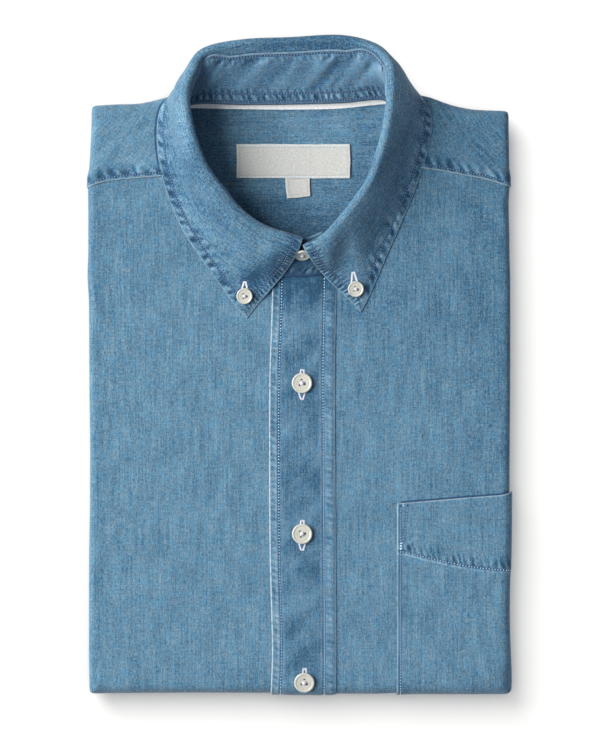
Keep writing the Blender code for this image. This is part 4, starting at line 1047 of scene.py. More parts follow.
def placket_surface(share, along):
    """The placket's outer face at a share of its width: two roped bands outside the stitch rows."""
    left, right = placket_edges(along)
    across = blend(left, right, share)
    from_left, from_right = across - left, right - across
    past_left, past_right = from_left - PLACKET_ROW_LEFT, from_right - PLACKET_ROW_RIGHT
    band_left = bump(from_left, PLACKET_ROW_LEFT * 0.5, PLACKET_ROW_LEFT * 0.62)
    band_right = bump(from_right, PLACKET_ROW_RIGHT * 0.5, PLACKET_ROW_RIGHT * 0.62)
    rope_and_shade = ripple(along + 0.5 * from_left, from_left * 0.3, 3.4, 31) * band_left
    rope_and_shade = rope_and_shade + ripple(along - 0.5 * from_right, from_right * 0.3, 3.8, 32) * band_right
    middle = ease(from_left, PLACKET_ROW_LEFT, 9.0) * ease(from_right, PLACKET_ROW_RIGHT, 10.0)
    # Painted light and shade: soft light and dark patches like folds over the middle, which also lift the cloth a
    # little.
    dark = 0.8 * ripple(across - 0.7 * along, 0.5 * along, 9.0, 33)
    dark = dark + 0.4 * ripple(across - 0.5 * along, along, 4.5, 34) - 0.35
    near_row = bump(from_left, PLACKET_ROW_LEFT + 2.5, 3.0) * ripple(along, 0.0, 3.0, 35)
    rope_and_shade = 0.7 * rope_and_shade + 0.72 * middle * dark + 0.4 * near_row + band_left + 0.65 * band_right
    groove = bell(past_left, 0.75) + bell(past_right, 0.75)
    seam_ridge = bell(past_left + 1.6, 0.55) + 0.8 * bell(past_right - 1.6, 0.6)
    # Painted shade: the placket darkens towards its top, under the collar, with mottling.
    rope_and_shade = rope_and_shade - 1.8 * ease(along, 28.0, 50.0) * (1.0 + 0.5 * ripple(across, along * 0.3, 3.0, 36))
    lift = 0.15 + PLACKET_CLOTH + 0.12 * rope_and_shade - 0.22 * groove + 0.12 * seam_ridge + 0.25 * middle
    lift = lift + 0.2 * fade(from_left, 0.5, 3.0) - PLACKET_PRESSED * fade(from_right, 0.3, 2.6)
    points, normals = on_body(across, along, lift)
    fold = np.minimum(0.7 * from_left, from_right + 0.18)
    row = np.minimum(np.abs(past_left), np.abs(past_right))
    puckers = seam_marks(along + 700.0, from_left, 0.55 * band_left + 0.36 * band_right)
    return points, normals, np.clip(rope_and_shade + 1.2 * seam_ridge, -1.6, 1.8), fold, row, puckers


def make_placket():
    first, second = PLACKET_ROW_LEFT / PLACKET_WIDTH, 1.0 - PLACKET_ROW_RIGHT / PLACKET_WIDTH
    share = line_through((0.0, first, second, 1.0), (11, 44, 13))
    stops = (FLAT_LOW - END_CLOTH * RAISED_END, FLAT_LOW, PLACKET_END)
    along = line_through(stops, (46, int((PLACKET_END - FLAT_LOW) / 1.05)))
    share, along = np.meshgrid(share, along, indexing="ij")
    # Columns of points lie on the stitch rows, whatever the placket's width there.
    left_row, right_row = placket_rows(along)
    share = np.where(share <= first, share * left_row / first, np.where(
        share >= second, 1.0 - (1.0 - share) * (1.0 - right_row) / (1.0 - second),
        left_row + (share - first) * (right_row - left_row) / (second - first)))
    points, normals, rope_and_shade, fold, row, puckers = placket_surface(share, along)
    left, right = placket_edges(along)
    thickness = PLACKET_CLOTH - PLACKET_PRESSED * fade((1.0 - share) * (right - left), 0.3, 2.6)
    cloth = cloth_marks(points[..., 0], along, 41.0)
    return shell("placket_cloth", points, normals, thickness, DENIM_PLACKET, cloth, fold, rope_and_shade, row, puckers)


POCKET_LOW = POCKET_LEFT - MIDDLE_X
PLACKET_END = float(cloth_y(0.0, PLACKET_TOP))


def pocket_top(across):
    share = np.clip((across - POCKET_LOW) / (HALF_WIDTH - POCKET_LOW), 0.0, 1.0)
    return blend(POCKET_TOP_LEFT, POCKET_TOP_RIGHT, share) + 1.3 * ease(share, 0.88, 1.0)


def pocket_surface(across, along):
    """The pocket's outer face, puckered above its slanted hem stitches."""
    from_left = across - POCKET_LOW
    from_top = pocket_top(across) - along
    above_hem = along - line_at(POCKET_HEM, across + MIDDLE_X)
    pucker = ripple(across + 0.25 * above_hem, above_hem * 0.12, 4.6, 51)
    rope_and_shade = pucker * ease(above_hem, 0.3, 2.5) * fade(above_hem, 5.0, 12.0)
    under = bell(above_hem + 1.5, 0.7) * (0.6 + 0.4 * ripple(across, 0.0, 2.6, 52))
    under = under * blend(1.9, 0.8, ease(from_left, 10.0, 50.0))
    corner = bump(from_left, 4.5, 4.5) * bump(along, -95.0, 14.0) * (ripple(across, along, 3.2, 53) - 0.25)
    side = bump(from_left, 4.0, 3.6) * ripple(along, from_left * 0.4, 4.5, 54) * 0.4
    streak = bell(above_hem - 3.2 - 0.75 * (from_left - 3.0), 1.3) * bump(from_left, 7.5, 6.0)
    rope_and_shade = 0.7 * rope_and_shade + 1.6 * under + corner + side + 1.1 * streak
    brace_x, brace_y = zip(*POCKET_BRACE)
    brace = np.abs(across + MIDDLE_X - np.interp(along, brace_y, brace_x))
    brace = np.where((along > brace_y[0] - 2.0) & (along < brace_y[-1] + 1.0), brace, FAR)
    row = np.minimum(np.minimum(np.abs(above_hem), np.abs(from_left - POCKET_ROW)), brace)
    lift = GAP + POCKET_CLOTH + 0.2 * rope_and_shade - 0.18 * bell(row, 0.7) + 0.35 * fade(-above_hem, -1.0, 2.0)
    points, normals = on_body(across, along, lift)
    puckered = 0.8 * ease(above_hem, 0.2, 1.2) * fade(above_hem, 2.0, 9.0) + 0.3 * bump(above_hem, -1.4, 1.6)
    from_side = from_left + 0.26 * ease(-above_hem, 0.0, 4.0)
    return points, normals, rope_and_shade, np.minimum(from_side, from_top), row, seam_marks(across + 1100.0, above_hem, puckered)


def make_pocket():
    stitched = POCKET_LOW + POCKET_ROW
    across = np.concatenate([
        line_through((POCKET_LOW, stitched, stitched + 9.0, FLAT_HALF), (4, 13, 30)),
        FLAT_HALF + SIDE_CLOTH * POCKET_END * np.linspace(0.0, 1.0, 28)[1:],
    ])
    low, middle = (np.full(len(across), y) for y in (FLAT_LOW - END_CLOTH * RAISED_END, FLAT_LOW))
    hem = line_at(POCKET_HEM, across + MIDDLE_X)
    along = rows_through((low, middle, hem - 4.0, hem, hem + 11.0, pocket_top(across)), (44, 40, 6, 14, 24))
    across = spread(across, along)
    points, normals, *marks = pocket_surface(across, along)
    return shell("pocket_cloth", points, normals, POCKET_CLOTH, DENIM, cloth_marks(across, along, 57.0),
                 **dict(zip(("rope_and_shade", "edge", "row", "seam"), marks)))


def neck_ring(offset, count):
    """The neck seam seen from above, evenly spaced, moved inward by an offset."""
    rows = np.array([row[:2] for row in COLLAR[:-1]] + [COLLAR[0][:2]], float)
    ring = even_path(rows, count + 1)[:-1]
    way = unit(np.roll(ring, -1, 0) - np.roll(ring, 1, 0))
    return ring + np.stack([way[:, 1], -way[:, 0]], -1) * offset


def inside_line(x, y, ring):
    """Whether points lie inside a closed line, seen from above."""
    inside = np.zeros(x.shape, bool)
    for (x1, y1), (x2, y2) in zip(ring, np.roll(ring, -1, 0)):
        crosses = (y1 > y) != (y2 > y)
        at = x1 + (y - y1) * (x2 - x1) / (y2 - y1 if y2 != y1 else 1e-9)
        inside ^= crosses & (x < at)
    return inside


# ---- hidden layers -----------------------------------------------------------------------
LAYER_STEPS = tuple(np.linspace(0.06, 0.985, 22))
SIDE_RINGS = 24        # rings down the layered side
BASIN = 14.6           # the layers lie this high inside the open neck


def layers_profile(step):
    """Inset and height of one ring of the hidden layers."""
    def under_front(share, *weights):
        way = unit(front_profile(share + 0.01, *weights) - front_profile(share - 0.01, *weights))
        inward = np.stack([-way[..., 1], way[..., 0]], -1)
        return front_profile(share, *weights) + inward * (CLOTH + LAYER_GAP)

    def profile(_share, to_end, to_shoulder, on_left):
        whole = np.ones_like(to_end)
        weights = (to_end, to_shoulder, on_left)
        past = step - len(LAYER_STEPS)
        if past < 0:
            return under_front(whole * LAYER_STEPS[step], *weights)
        if past < 2:
            hem = front_profile(whole, *weights)
            height = hem[..., 1] - GAP if past else under_front(whole * LAYER_STEPS[-1], *weights)[..., 1]
            return np.stack([hem[..., 0] + LAYER_GAP, height], -1)
        at = np.array((past - 2) / 3.0)
        side, end, shoulder = (row_at(rows, at) for rows in (SIDE_LAYERS, END_LAYERS, SHOULDER_LAYERS))
        return blend(blend(side, end, to_end[..., None]), shoulder, to_shoulder[..., None])

    return profile


def outline_stations():
    """Places of the cloth round the outline, all at the far end of a fold."""
    side_x = FLAT_HALF + SIDE_CLOTH
    shares = np.linspace(0.0, 1.0, 15)[1:]

    def corner(hand, flat, cloth):
        """From a side fold round to the fold at an end."""
        down = [(hand * side_x, flat + cloth * k) for k in shares]
        return down + [(hand * (FLAT_HALF + SIDE_CLOTH * k), flat + cloth) for k in shares[-2::-1]]

    ends, sides = np.linspace(-FLAT_HALF, FLAT_HALF, 60), np.linspace(FLAT_LOW, FLAT_HIGH, 90)
    stations = [(-side_x, y) for y in np.linspace(FLAT_HIGH, FLAT_LOW, 90)] + corner(-1.0, FLAT_LOW, -END_CLOTH)
    stations += [(x, FLAT_LOW - END_CLOTH) for x in ends] + corner(1.0, FLAT_LOW, -END_CLOTH)[::-1]
    stations += [(side_x, y) for y in sides] + corner(1.0, FLAT_HIGH, SIDE_CLOTH)
    stations += [(x, FLAT_HIGH + SIDE_CLOTH) for x in np.linspace(FLAT_HALF, -FLAT_HALF, 60)]
    return np.array(stations + corner(-1.0, FLAT_HIGH, SIDE_CLOTH)[::-1])


def make_folded_layers():
    """The hidden layers: one rounded body with the folded edges of the layers round its sides."""
    over, along = outline_stations().T
    rings = []
    for low in range(-len(LAYER_STEPS) - 2, SIDE_RINGS + 1):
        ring = place(over, along, layers_profile(low + len(LAYER_STEPS) + 2))
        if 0 < low < SIDE_RINGS:
            way = unit(ring[:, :2] - ring[:, :2].mean(0))
            ring[:, :2] += way * (0.5 * ripple(over + along, low * 1.5, 14.0, 61))[:, None]
            ring[:, 2] += 0.25 * ripple(over - along, 0.0, 17.0, 62) * math.sin(math.pi * low / SIDE_RINGS)
        rings.append(ring)
    middle = np.array([MIDDLE_X, (BOTTOM_Y + SHOULDER_Y) / 2.0, 0.0])
    # Underneath: the side folds' edges and the turned-up tail show as shallow steps.
    under = [blend(middle, rings[-1], share) for share in np.linspace(0.94, 0.04, 40)]
    for ring in under:
        ring[:, 2] = underside(ring[:, 0], ring[:, 1])
    top = rings[0]
    over_top = [blend(middle, top, share) for share in np.linspace(0.985, 0.02, 70)]
    for ring in over_top:
        ring[:, 2] = top[:, 2]
    rows = np.array(over_top[::-1] + rings + under)
    in_neck = inside_line(rows[..., 0], rows[..., 1], neck_ring(-0.8, 120)) & (rows[..., 2] > BASIN)
    rows[..., 2] = np.where(in_neck, BASIN, rows[..., 2])
    made, flat = ring_body("folded_layers_cloth", rows, DENIM_HIDDEN)
    x, y, z = flat.T
    mark(made, "cloth", cloth_marks(x + z * 0.4, y + z * 0.7, 71.0))
    for label in ("edge", "row"):
        mark(made, label, np.full(len(flat), FAR))
    mark(made, "rope_and_shade", underside_shade_and_tone(flat))
    return made


UNDER_SPLIT = 9.0      # where one folded side's edge lies on the other, underneath
UNDER_TAIL = -72.0     # where the turned-up lower end stops


def underside(x, y):
    """Height of the underside: flat, with the shallow troughs beside the folded edges."""
    trough = 0.55 * bell(x - UNDER_SPLIT - 1.2 * np.sin(y / 40.0), 1.6) * ease(y, UNDER_TAIL, UNDER_TAIL + 4.0)
    return np.maximum(trough, 0.6 * bell(y - UNDER_TAIL - 1.5 * np.sin(x / 35.0), 1.6))


def underside_shade_and_tone(points):
    x, y, z = points.T
    # Painted shade in the shallow troughs underneath, with uneven tone; above the underside, uneven tone only.
    tone = -0.8 * underside(x, y) / 0.6 + 0.25 * ripple(x, y, 9.0, 63)
    return np.where(z < 1.0, tone, 0.15 * ripple(x, y, 6.0, 64))


# ---- inside the neck ---------------------------------------------------------------------
def floor_height(x, y):
    waves = 0.16 * ripple(x, y, 13.0, 71) + 0.07 * ripple(x, y, 5.0, 72)
    ring = neck_share(x, y)
    return FLOOR_Z - FLOOR_DIP * fade(ring, 0.2, 1.0) + waves * fade(ring, 0.8, 1.0)


def make_yoke_inner():
    edge = neck_ring(0.4, 260)
    top = []
    for share in np.linspace(0.02, 1.0, 58):
        x, y = blend(np.array(NECK_MIDDLE), edge, share).T
        top.append(np.stack([x, y, floor_height(x, y)], -1))
    low = [ring - np.array([0.0, 0.0, CLOTH]) for ring in top[::-1]]
    made, flat = ring_body("yoke_inner_cloth", top + low, DENIM_INSIDE, downward=True)
    x, y, _z = flat.T
    mark(made, "cloth", cloth_marks(y, x, 83.0))
    for label in ("edge", "row"):
        mark(made, label, np.full(len(flat), FAR))
    # Painted light and shade inside the neck: darker towards the front under the collar's front and towards the
    # wearer's left, lighter at the back in the middle, with uneven tone.
    back, right = ease(y, 112.0, 134.0), ease(x, 20.0, 42.0)
    side = 0.45 * ease(x, -15.0, 20.0) * (1.0 - right) * back - 0.25 * right
    mark(made, "rope_and_shade", 0.25 * ripple(x, y, 14.0, 73) - 0.8 * fade(y, 84.0, 116.0) + side)
    return made


def floor_patch(name, box, parts, lift, thickness, seed, curl=0.0, askew=0.0):
    """A flat woven piece lying on the inner yoke, its lower edge rising by askew for each millimetre."""
    x, y = np.meshgrid(*(np.linspace(box[k], box[k + 2], parts[k]) for k in (0, 1)), indexing="ij")
    up = (y - y.min()) / (y.max() - y.min())
    over = (x - x.min()) / (x.max() - x.min())
    y = y + askew * (x - x.min()) * (1.0 - up) + 0.22 * ripple(x, 0.0, 6.0, seed + 1)
    x = x + 0.22 * ripple(y, 0.0, 5.0, seed + 2) + 0.5 * askew * (y - y.max()) * (over - 1.6)
    wide, high = x.max() - x.min(), y.max() - y.min()
    near = np.minimum(np.minimum(over, 1.0 - over) * wide, np.minimum(up, 1.0 - up) * high)
    z = floor_height(x, y) + lift + thickness + curl * (ripple(x, y, 9.0, seed) + 0.3) * fade(near, 0.0, 6.0)
    points = np.stack([x, y, z], -1)
    edge_tone = 0.5 * fade(near, 0.5, 0.9) - 0.8 * bell(near - 1.5, 0.4)
    return shell(name, points, grid_normals(points), thickness, WOVEN, cloth_marks(x, y, seed), near, edge_tone)


def make_neck_tape():
    x = np.linspace(TAPE_HIGH[0][0], TAPE_HIGH[-1][0], 180)
    share = np.linspace(0.0, 1.0, 8)[None, :]
    y = blend(line_at(TAPE_LOW, x)[:, None], line_at(TAPE_HIGH, x)[:, None], share)
    x = spread(x, y)
    z = floor_height(x, y) + GAP + LABEL_CLOTH + 0.2 * np.sin(math.pi * share) + 0.8 * share ** 2
    points = np.stack([x, y, z], -1)
    return shell("neck_tape_cloth", points, grid_normals(points), LABEL_CLOTH, TAPE, cloth_marks(x, y, 99.0))


# ---- collar ------------------------------------------------------------------------------
FALL_SECTIONS = 420
SEWN_PARTS, ROLL_PARTS, LEAF_PARTS = 4, 12, 40
LEAF_START = SEWN_PARTS + ROLL_PARTS
COLLAR_ROW = 4.7       # stitch row, in from the leaf's edge
PRESSED = 0.4          # the edge is pressed thinner by this
FRONT_PUCKERS, EDGE_PUCKERS = 1.5, 0.62    # how close the puckers are
FRONT_FULL = 2.3       # sections behind the front edges that come down with them


def nearest(points, line):
    """Distance from each point to a line of points, and how far along the line the nearest one is."""
    flat = points.reshape(-1, 3)
    total = path_lengths(line)
    distance, run = np.full(len(flat), 1e9), np.zeros(len(flat))
    for a, b, before, after in zip(line, line[1:], total, total[1:]):
        way = b - a
        share = np.clip(((flat - a) @ way) / max(way @ way, 1e-9), 0.0, 1.0)
        away = np.linalg.norm(flat - a - share[:, None] * way, axis=1)
        closer = away < distance
        distance = np.where(closer, away, distance)
        run = np.where(closer, before + share * (after - before), run)
    return distance.reshape(points.shape[:2]), run.reshape(points.shape[:2])


# Painted light and shade on the collar's leaves, where their shape doesn't give it, and paler worn tips: x, y, reach
# along, reach across, turn in degrees, tone.
SHADE_AND_WEAR_PATCHES = (
    (-69.0, 132.0, 24.0, 4.0, 88.0, 0.4),
    (-66.0, 160.0, 14.0, 6.0, 62.0, 0.4),
    (-40.0, 66.0, 12.0, 7.0, -50.0, -0.2),
    (-74.0, 112.0, 34.0, 10.0, 70.0, -0.45),
    (-4.0, 198.0, 50.0, 8.0, 0.0, -0.9),
    (-58.0, 102.0, 30.0, 10.0, -60.0, -0.5),
    (-13.0, 62.0, 18.0, 8.0, 48.0, -1.15),
    (-28.0, 54.0, 9.0, 6.0, 40.0, -1.4),
    (-40.0, 84.0, 16.0, 5.0, -38.0, -0.3),
    (45.0, 84.0, 8.0, 5.0, 60.0, -0.4),
    (-32.5, 36.0, 6.0, 6.0, 0.0, 0.6),
    (38.0, 41.0, 6.0, 6.0, 0.0, 0.6),
)


def painted_shade_and_wear(x, y):
    tone = np.zeros_like(x)
    for at_x, at_y, long, wide, turn, amount in SHADE_AND_WEAR_PATCHES:
        run, off = turned(x, y, at_x, at_y, turn)
        tone += amount * np.exp(-(run / long) ** 2 - (off / wide) ** 2)
    return tone


class Fall:
    """The collar's fall: its bare grid, its distances from the finished edge, and the dressed grid."""

    def __init__(self):
        self.at = np.linspace(0.0, LAST_SECTION, FALL_SECTIONS)
        self.from_end = np.minimum(self.at, LAST_SECTION - self.at)[:, None]
        self.bare = fall_grid(self.at, SEWN_PARTS, ROLL_PARTS, LEAF_PARTS)
        self.leaf = np.clip((np.arange(self.bare.shape[1]) - LEAF_START) / LEAF_PARTS, 0.0, 1.0)[None, :]
        self.bring_down_fronts()
        x, y = self.bare[..., 0], self.bare[..., 1]
        front_right, front_left = (self.bare[end, SEWN_PARTS:] for end in (0, -1))
        outline = np.concatenate([front_right, self.bare[1:-1:3, -1], front_left[::-1]])
        edge, along = nearest(self.bare, outline)
        edge[:, :SEWN_PARTS] = FAR
        inside = edge - COLLAR_ROW
        band = bump(edge, COLLAR_ROW * 0.52, COLLAR_ROW * 0.7)
        slow = ripple(along + 0.6 * edge, edge * 0.2, 3.4, 81)
        fast = ripple(along + 0.3 * edge, edge * 0.15, 1.5, 85)
        rope_and_shade = np.clip(1.5 * blend(slow, fast, 0.75 * fade(self.from_end, 0.4, 1.1)) - 0.2, -1.1, 1.0)
        inner = ripple(along, edge * 0.2, 4.2, 82) * ease(inside, 0.2, 1.5) * fade(inside, 2.5, 7.5)
        soft = ripple(x, y, 16.0, 83)
        self.rope_and_shade = rope_and_shade * band + 0.6 * inner + 0.2 * soft + painted_shade_and_wear(x, y)
        # Painted shade under the roll: the sewn strip is darker, more so towards the wearer's left, and darkest along
        # its first points.
        self.rope_and_shade[:, 1:SEWN_PARTS + 1] -= 0.35 + 0.9 * ease(x[:, 1:SEWN_PARTS + 1], 30.0, 50.0)
        self.rope_and_shade[:, 0] -= 1.6
        puckered = band + 0.4 * ease(inside, 0.2, 1.2) * fade(inside, 1.5, 6.0)
        puckered = puckered * np.where(x < 0.0, 1.0 - 0.65 * ease(y, 90.0, 140.0), 1.0 - 0.3 * ease(y, 110.0, 150.0))
        # The puckers are closer together at the fronts than along the outer edge.
        total, short = along.max(), path_lengths(front_right)[-1]
        stops = np.cumsum([0.0, FRONT_PUCKERS * short, EDGE_PUCKERS * (total - 2.0 * short), FRONT_PUCKERS * short])
        run = np.interp(along, [0.0, short, total - short, total], stops)
        self.puckers = seam_marks(run + 1500.0, edge, puckered)
        lift = 0.2 * rope_and_shade * band + 0.14 * inner - 0.2 * bell(inside, 0.7)
        lift = lift + 0.3 * soft * ease(self.leaf, 0.0, 0.3) * ease(inside, 0.0, 6.0)
        lift = lift + 0.2 * ripple(self.at * 14.0, 0.0 * self.at, 11.0, 84)[:, None] * fade(self.leaf, 0.0, 0.5)
        self.pressed = PRESSED * fade(edge, 0.4, 3.6) * ease(self.leaf, 0.0, 0.2)
        self.edge, self.normals = edge, grid_normals(self.bare)
        self.points = self.bare + self.normals * (np.maximum(lift, -0.3) - self.pressed)[..., None]

    def bring_down_fronts(self):
        """Let both front edges fall from the stand onto the placket, while the leaves stay full behind them."""
        x, y, z = np.moveaxis(self.bare, -1, 0)
        on_placket = fade(np.abs(x), 17.0, 24.0)
        over_stand = ease(y, 52.0, 72.0) * fade(np.abs(x), 16.0, 30.0)
        low = height_at(x, y) + EDGE_GAP + FALL_CLOTH + 1.6 * on_placket + 12.0 * over_stand
        share = 0.95 * fade(self.from_end, 0.0, FRONT_FULL) * ease(self.leaf, 0.0, 0.35)
        self.bare[..., 2] = z - share * np.maximum(z - low, 0.0)

    def make(self):
        across = np.linalg.norm(np.diff(self.bare, axis=1), axis=-1)
        across = np.concatenate([np.zeros((FALL_SECTIONS, 1)), np.cumsum(across, 1)], 1)
        along = spread(path_lengths(self.bare[:, LEAF_START + LEAF_PARTS // 3]), across)
        return shell(
            "collar_fall_cloth", self.points, self.normals, FALL_CLOTH - self.pressed, DENIM_COLLAR,
            cloth_marks(across, along, 101.0), self.edge, self.rope_and_shade, self.edge - COLLAR_ROW, self.puckers)

    def row_path(self, inset):
        """The line at an inset from the finished edge, from one front edge's top round to the other's."""
        def past_inset(distance):
            """How far along the distances the inset is reached, and the point just after; none where it isn't."""
            past = np.argmax(distance >= inset)
            if past == 0:
                return None, past
            return past - 1 + (inset - distance[past - 1]) / (distance[past] - distance[past - 1]), past

        rows, columns = self.edge.shape
        paths = []
        for first, step in ((0, 1), (rows - 1, -1)):
            line = []
            for column in range(SEWN_PARTS + ROLL_PARTS // 2, columns):
                at, past = past_inset(self.edge[first::step, column])
                outer = np.linalg.norm(self.bare[::step][past, column] - self.bare[::step][past, -1])
                if at is not None and outer >= inset * 0.9 and past <= rows // 4:
                    line.append((first + step * at, column))
            paths.append(line)
        start, end = (path[-1][0] for path in paths)
        places = [(row, past_inset(self.edge[row, LEAF_START:][::-1])[0]) for row in range(rows)]
        outer_line = [(row, columns - 1 - at) for row, at in places if at is not None and start < row < end]
        return np.array(paths[0] + outer_line + paths[1][::-1])


class Stand:
    """The collar's stand, seen from the neck, with both lapped ends."""

    def __init__(self):
        foot, top = stand_lines(np.linspace(0.0, LAST_SECTION, 460))
        ends = []
        for x, y, *high in (STAND_END_RIGHT, STAND_END_LEFT):
            ends.append((np.array([x, y, float(height_at(x, y)) + FOOT_GAP]), np.array(high)))
        part = np.linspace(0.0, 1.0, STAND_END_PARTS)[:, None]
        foot, top = (
            np.concatenate([blend(ends[0][k], line[0], part[:-1]), line, blend(line[-1], ends[1][k], part[1:])])
            for k, line in enumerate((foot, top)))
        self.whole = np.linalg.norm(top - foot, axis=-1, keepdims=True)
        stops = [np.zeros_like(self.whole), *(np.full_like(self.whole, at) for at in STAND_ROWS)]
        stops += [self.whole + STAND_TOP_ROW, self.whole]
        self.height = rows_through([stop[:, 0] for stop in stops], (4, 8, 23, 4))
        grid = blend(foot[:, None], top[:, None], (self.height / self.whole)[..., None])
        self.normals = grid_normals(grid)
        self.run = path_lengths(grid[:, STAND_MIDDLE])
        x, y = grid[..., 0], grid[..., 1]
        run = spread(self.run, self.height)
        under_top = self.whole - self.height
        behind = ease(y, 120.0, 160.0)
        between = ease(self.height, 6.0, 10.0) * ease(under_top, 1.0, 4.0)
        slant = ripple(run - 0.9 * self.height, self.height * 0.25, 7.5, 86)
        slant = slant + 0.6 * ripple(run - 0.7 * self.height, self.height * 0.4, 4.0, 87)
        slant = slant * (0.4 + 0.5 * ease(x, -20.0, 35.0))
        low = ripple(run + 0.6 * self.height, self.height * 0.3, 2.6, 88) * bump(self.height, 3.8, 3.0)
        high = ripple(run + 0.8 * under_top, under_top * 0.2, 3.4, 89) * bump(under_top, 4.5, 4.0)
        self.rope_and_shade = behind * (0.9 * slant * between + high) + 1.3 * low - 0.1 * behind
        # Painted shade on the lapped front ends, where they lie under the collar's leaves.
        lapped = fade(y, 70.0, 84.0)
        self.rope_and_shade -= 1.5 * lapped * (1.0 + 0.6 * ripple(run, self.height * 0.5, 2.2, 90))
        puckered = bump(self.height, 3.8, 3.2) + 0.5 * bump(under_top, 3.5, 3.0) * behind
        puckered = puckered + 0.5 * bump(self.height, 8.0, 2.4) * behind
        self.puckers = seam_marks(run + 2100.0, self.height, puckered)
        rows = [np.abs(self.height - at) for at in STAND_ROWS] + [np.abs(under_top + STAND_TOP_ROW)]
        # Painted shade: the stitch-groove darkening also runs along the foot of the lapped ends.
        self.row = np.where(y < 110.0, np.where(y < 80.0, 0.5 * self.height, FAR), np.minimum.reduce(rows))
        lift = behind * (0.95 * slant * between + 0.45 * high + 0.8) + 0.2 * low - 0.2 * bell(self.row, 0.7)
        self.points = grid + self.normals * lift[..., None]
        self.edge = np.where(behind > 0.5, under_top + 0.22, FAR)

    def make(self):
        # The foot goes on down inside the neck, so that no gap shows under it.
        drop = self.points[:, :1] - np.array([0.0, 0.0, STAND_DROP])
        lapped = ease(np.abs(self.points[:, :1, 0]), 14.0, 24.0) + ease(self.points[:, :1, 1], 62.0, 70.0)
        drop[..., 2] += STAND_DROP * (1.0 - np.clip(lapped, 0.0, 1.0)) * 0.6
        height = np.concatenate([self.height[:, :1] - STAND_DROP, self.height], 1)
        normals, *marks = (np.concatenate([grid[:, :1], grid], 1) for grid in (
            self.normals, self.edge, self.rope_and_shade, self.row, self.puckers))
        cloth = cloth_marks(height, spread(self.run, height), 111.0)
        points = np.concatenate([drop, self.points], 1)
        return shell("collar_stand_cloth", points, normals, STAND_CLOTH, DENIM_STAND, cloth, *marks)

    def row_path(self, height):
        """A stitch line at a height above the neck seam, or below the fall, behind the neck."""
        points, normals = [], []
        for k in np.flatnonzero(self.points[:, 0, 1] >= 120.0):
            at = height if height > 0.0 else self.whole[k, 0] + height
            column = np.interp(at, self.height[k], np.arange(self.height.shape[1]))
            points.append(sample(self.points, np.array(float(k)), np.array(column)))
            normals.append(self.normals[k, STAND_MIDDLE])
        return np.array(points), np.array(normals)


# ---- buttons -----------------------------------------------------------------------------
# Share of the radius, height in millimetres.
BUTTON_PROFILE = (
    (0.0, 1.5), (0.25, 1.49), (0.42, 1.52), (0.50, 1.58), (0.56, 1.64), (0.61, 1.66), (0.655, 1.62), (0.69, 1.6),
    (0.73, 1.64), (0.78, 1.76), (0.84, 1.9), (0.89, 1.95), (0.94, 1.9), (0.98, 1.72), (1.0, 1.42),
    (0.99, 1.0), (0.94, 0.5), (0.86, 0.14), (0.72, 0.0),
)
BUTTON_SIDES = 56
HOLE_RADIUS = 0.68
HOLE_CIRCLE = 1.8


def make_button(name, radius, foot, normal, turn):
    """A turned three-hole button with its thread, standing on the cloth."""
    shape = bmesh.new()
    chain = [shape.verts.new((share * radius, 0.0, high)) for share, high in BUTTON_PROFILE + ((0.0, 0.0),)]
    edges = [shape.edges.new(pair) for pair in zip(chain, chain[1:])]
    bmesh.ops.spin(shape, geom=chain + edges, cent=(0, 0, 0), axis=(0, 0, 1), angle=2.0 * math.pi,
                   steps=BUTTON_SIDES, use_merge=True)
    bmesh.ops.remove_doubles(shape, verts=shape.verts, dist=0.001)
    bmesh.ops.recalc_face_normals(shape, faces=shape.faces)
    scale = radius / FRONT_BUTTON_RADIUS
    drills = bmesh.new()
    holes = []
    for k in range(3):
        angle = math.pi / 2.0 + turn + k * 2.0 * math.pi / 3.0
        at = Vector((math.cos(angle), math.sin(angle), 0.0)) * HOLE_CIRCLE * scale
        drill = bmesh.ops.create_cone(drills, cap_ends=True, segments=20, depth=8.0,
                                      radius1=HOLE_RADIUS * scale, radius2=HOLE_RADIUS * scale)
        bmesh.ops.translate(drills, vec=at, verts=drill["verts"])
        holes.append(np.array(at))
    made, cutter = bmesh_object(name, shape), bmesh_object(name + "_holes", drills)
    modifier = made.modifiers.new("holes", "BOOLEAN")
    modifier.operation, modifier.solver, modifier.object = "DIFFERENCE", "EXACT", cutter
    bpy.context.view_layer.update()
    drilled = bpy.data.meshes.new_from_object(made.evaluated_get(bpy.context.evaluated_depsgraph_get()))
    made.modifiers.clear()
    made.data = drilled
    bpy.data.objects.remove(cutter)
    drilled.shade_smooth()
    drilled.set_sharp_from_angle(angle=math.radians(38.0))
    frame_of = normal.to_track_quat("Z", "Y").to_matrix().to_4x4()
    frame_of.translation = foot
    drilled.transform(frame_of)
    drilled.transform(Matrix.Scale(MM, 4))
    points, faces = button_thread(holes, scale)
    return made, (points @ np.array(frame_of.to_3x3()).T + np.array(foot), faces)


def bmesh_object(name, shape):
    mesh = bpy.data.meshes.new(name)
    shape.to_mesh(mesh)
    shape.free()
    mesh.materials.append(IVORY)
    made = bpy.data.objects.new(name, mesh)
    bpy.context.scene.collection.objects.link(made)
    return made


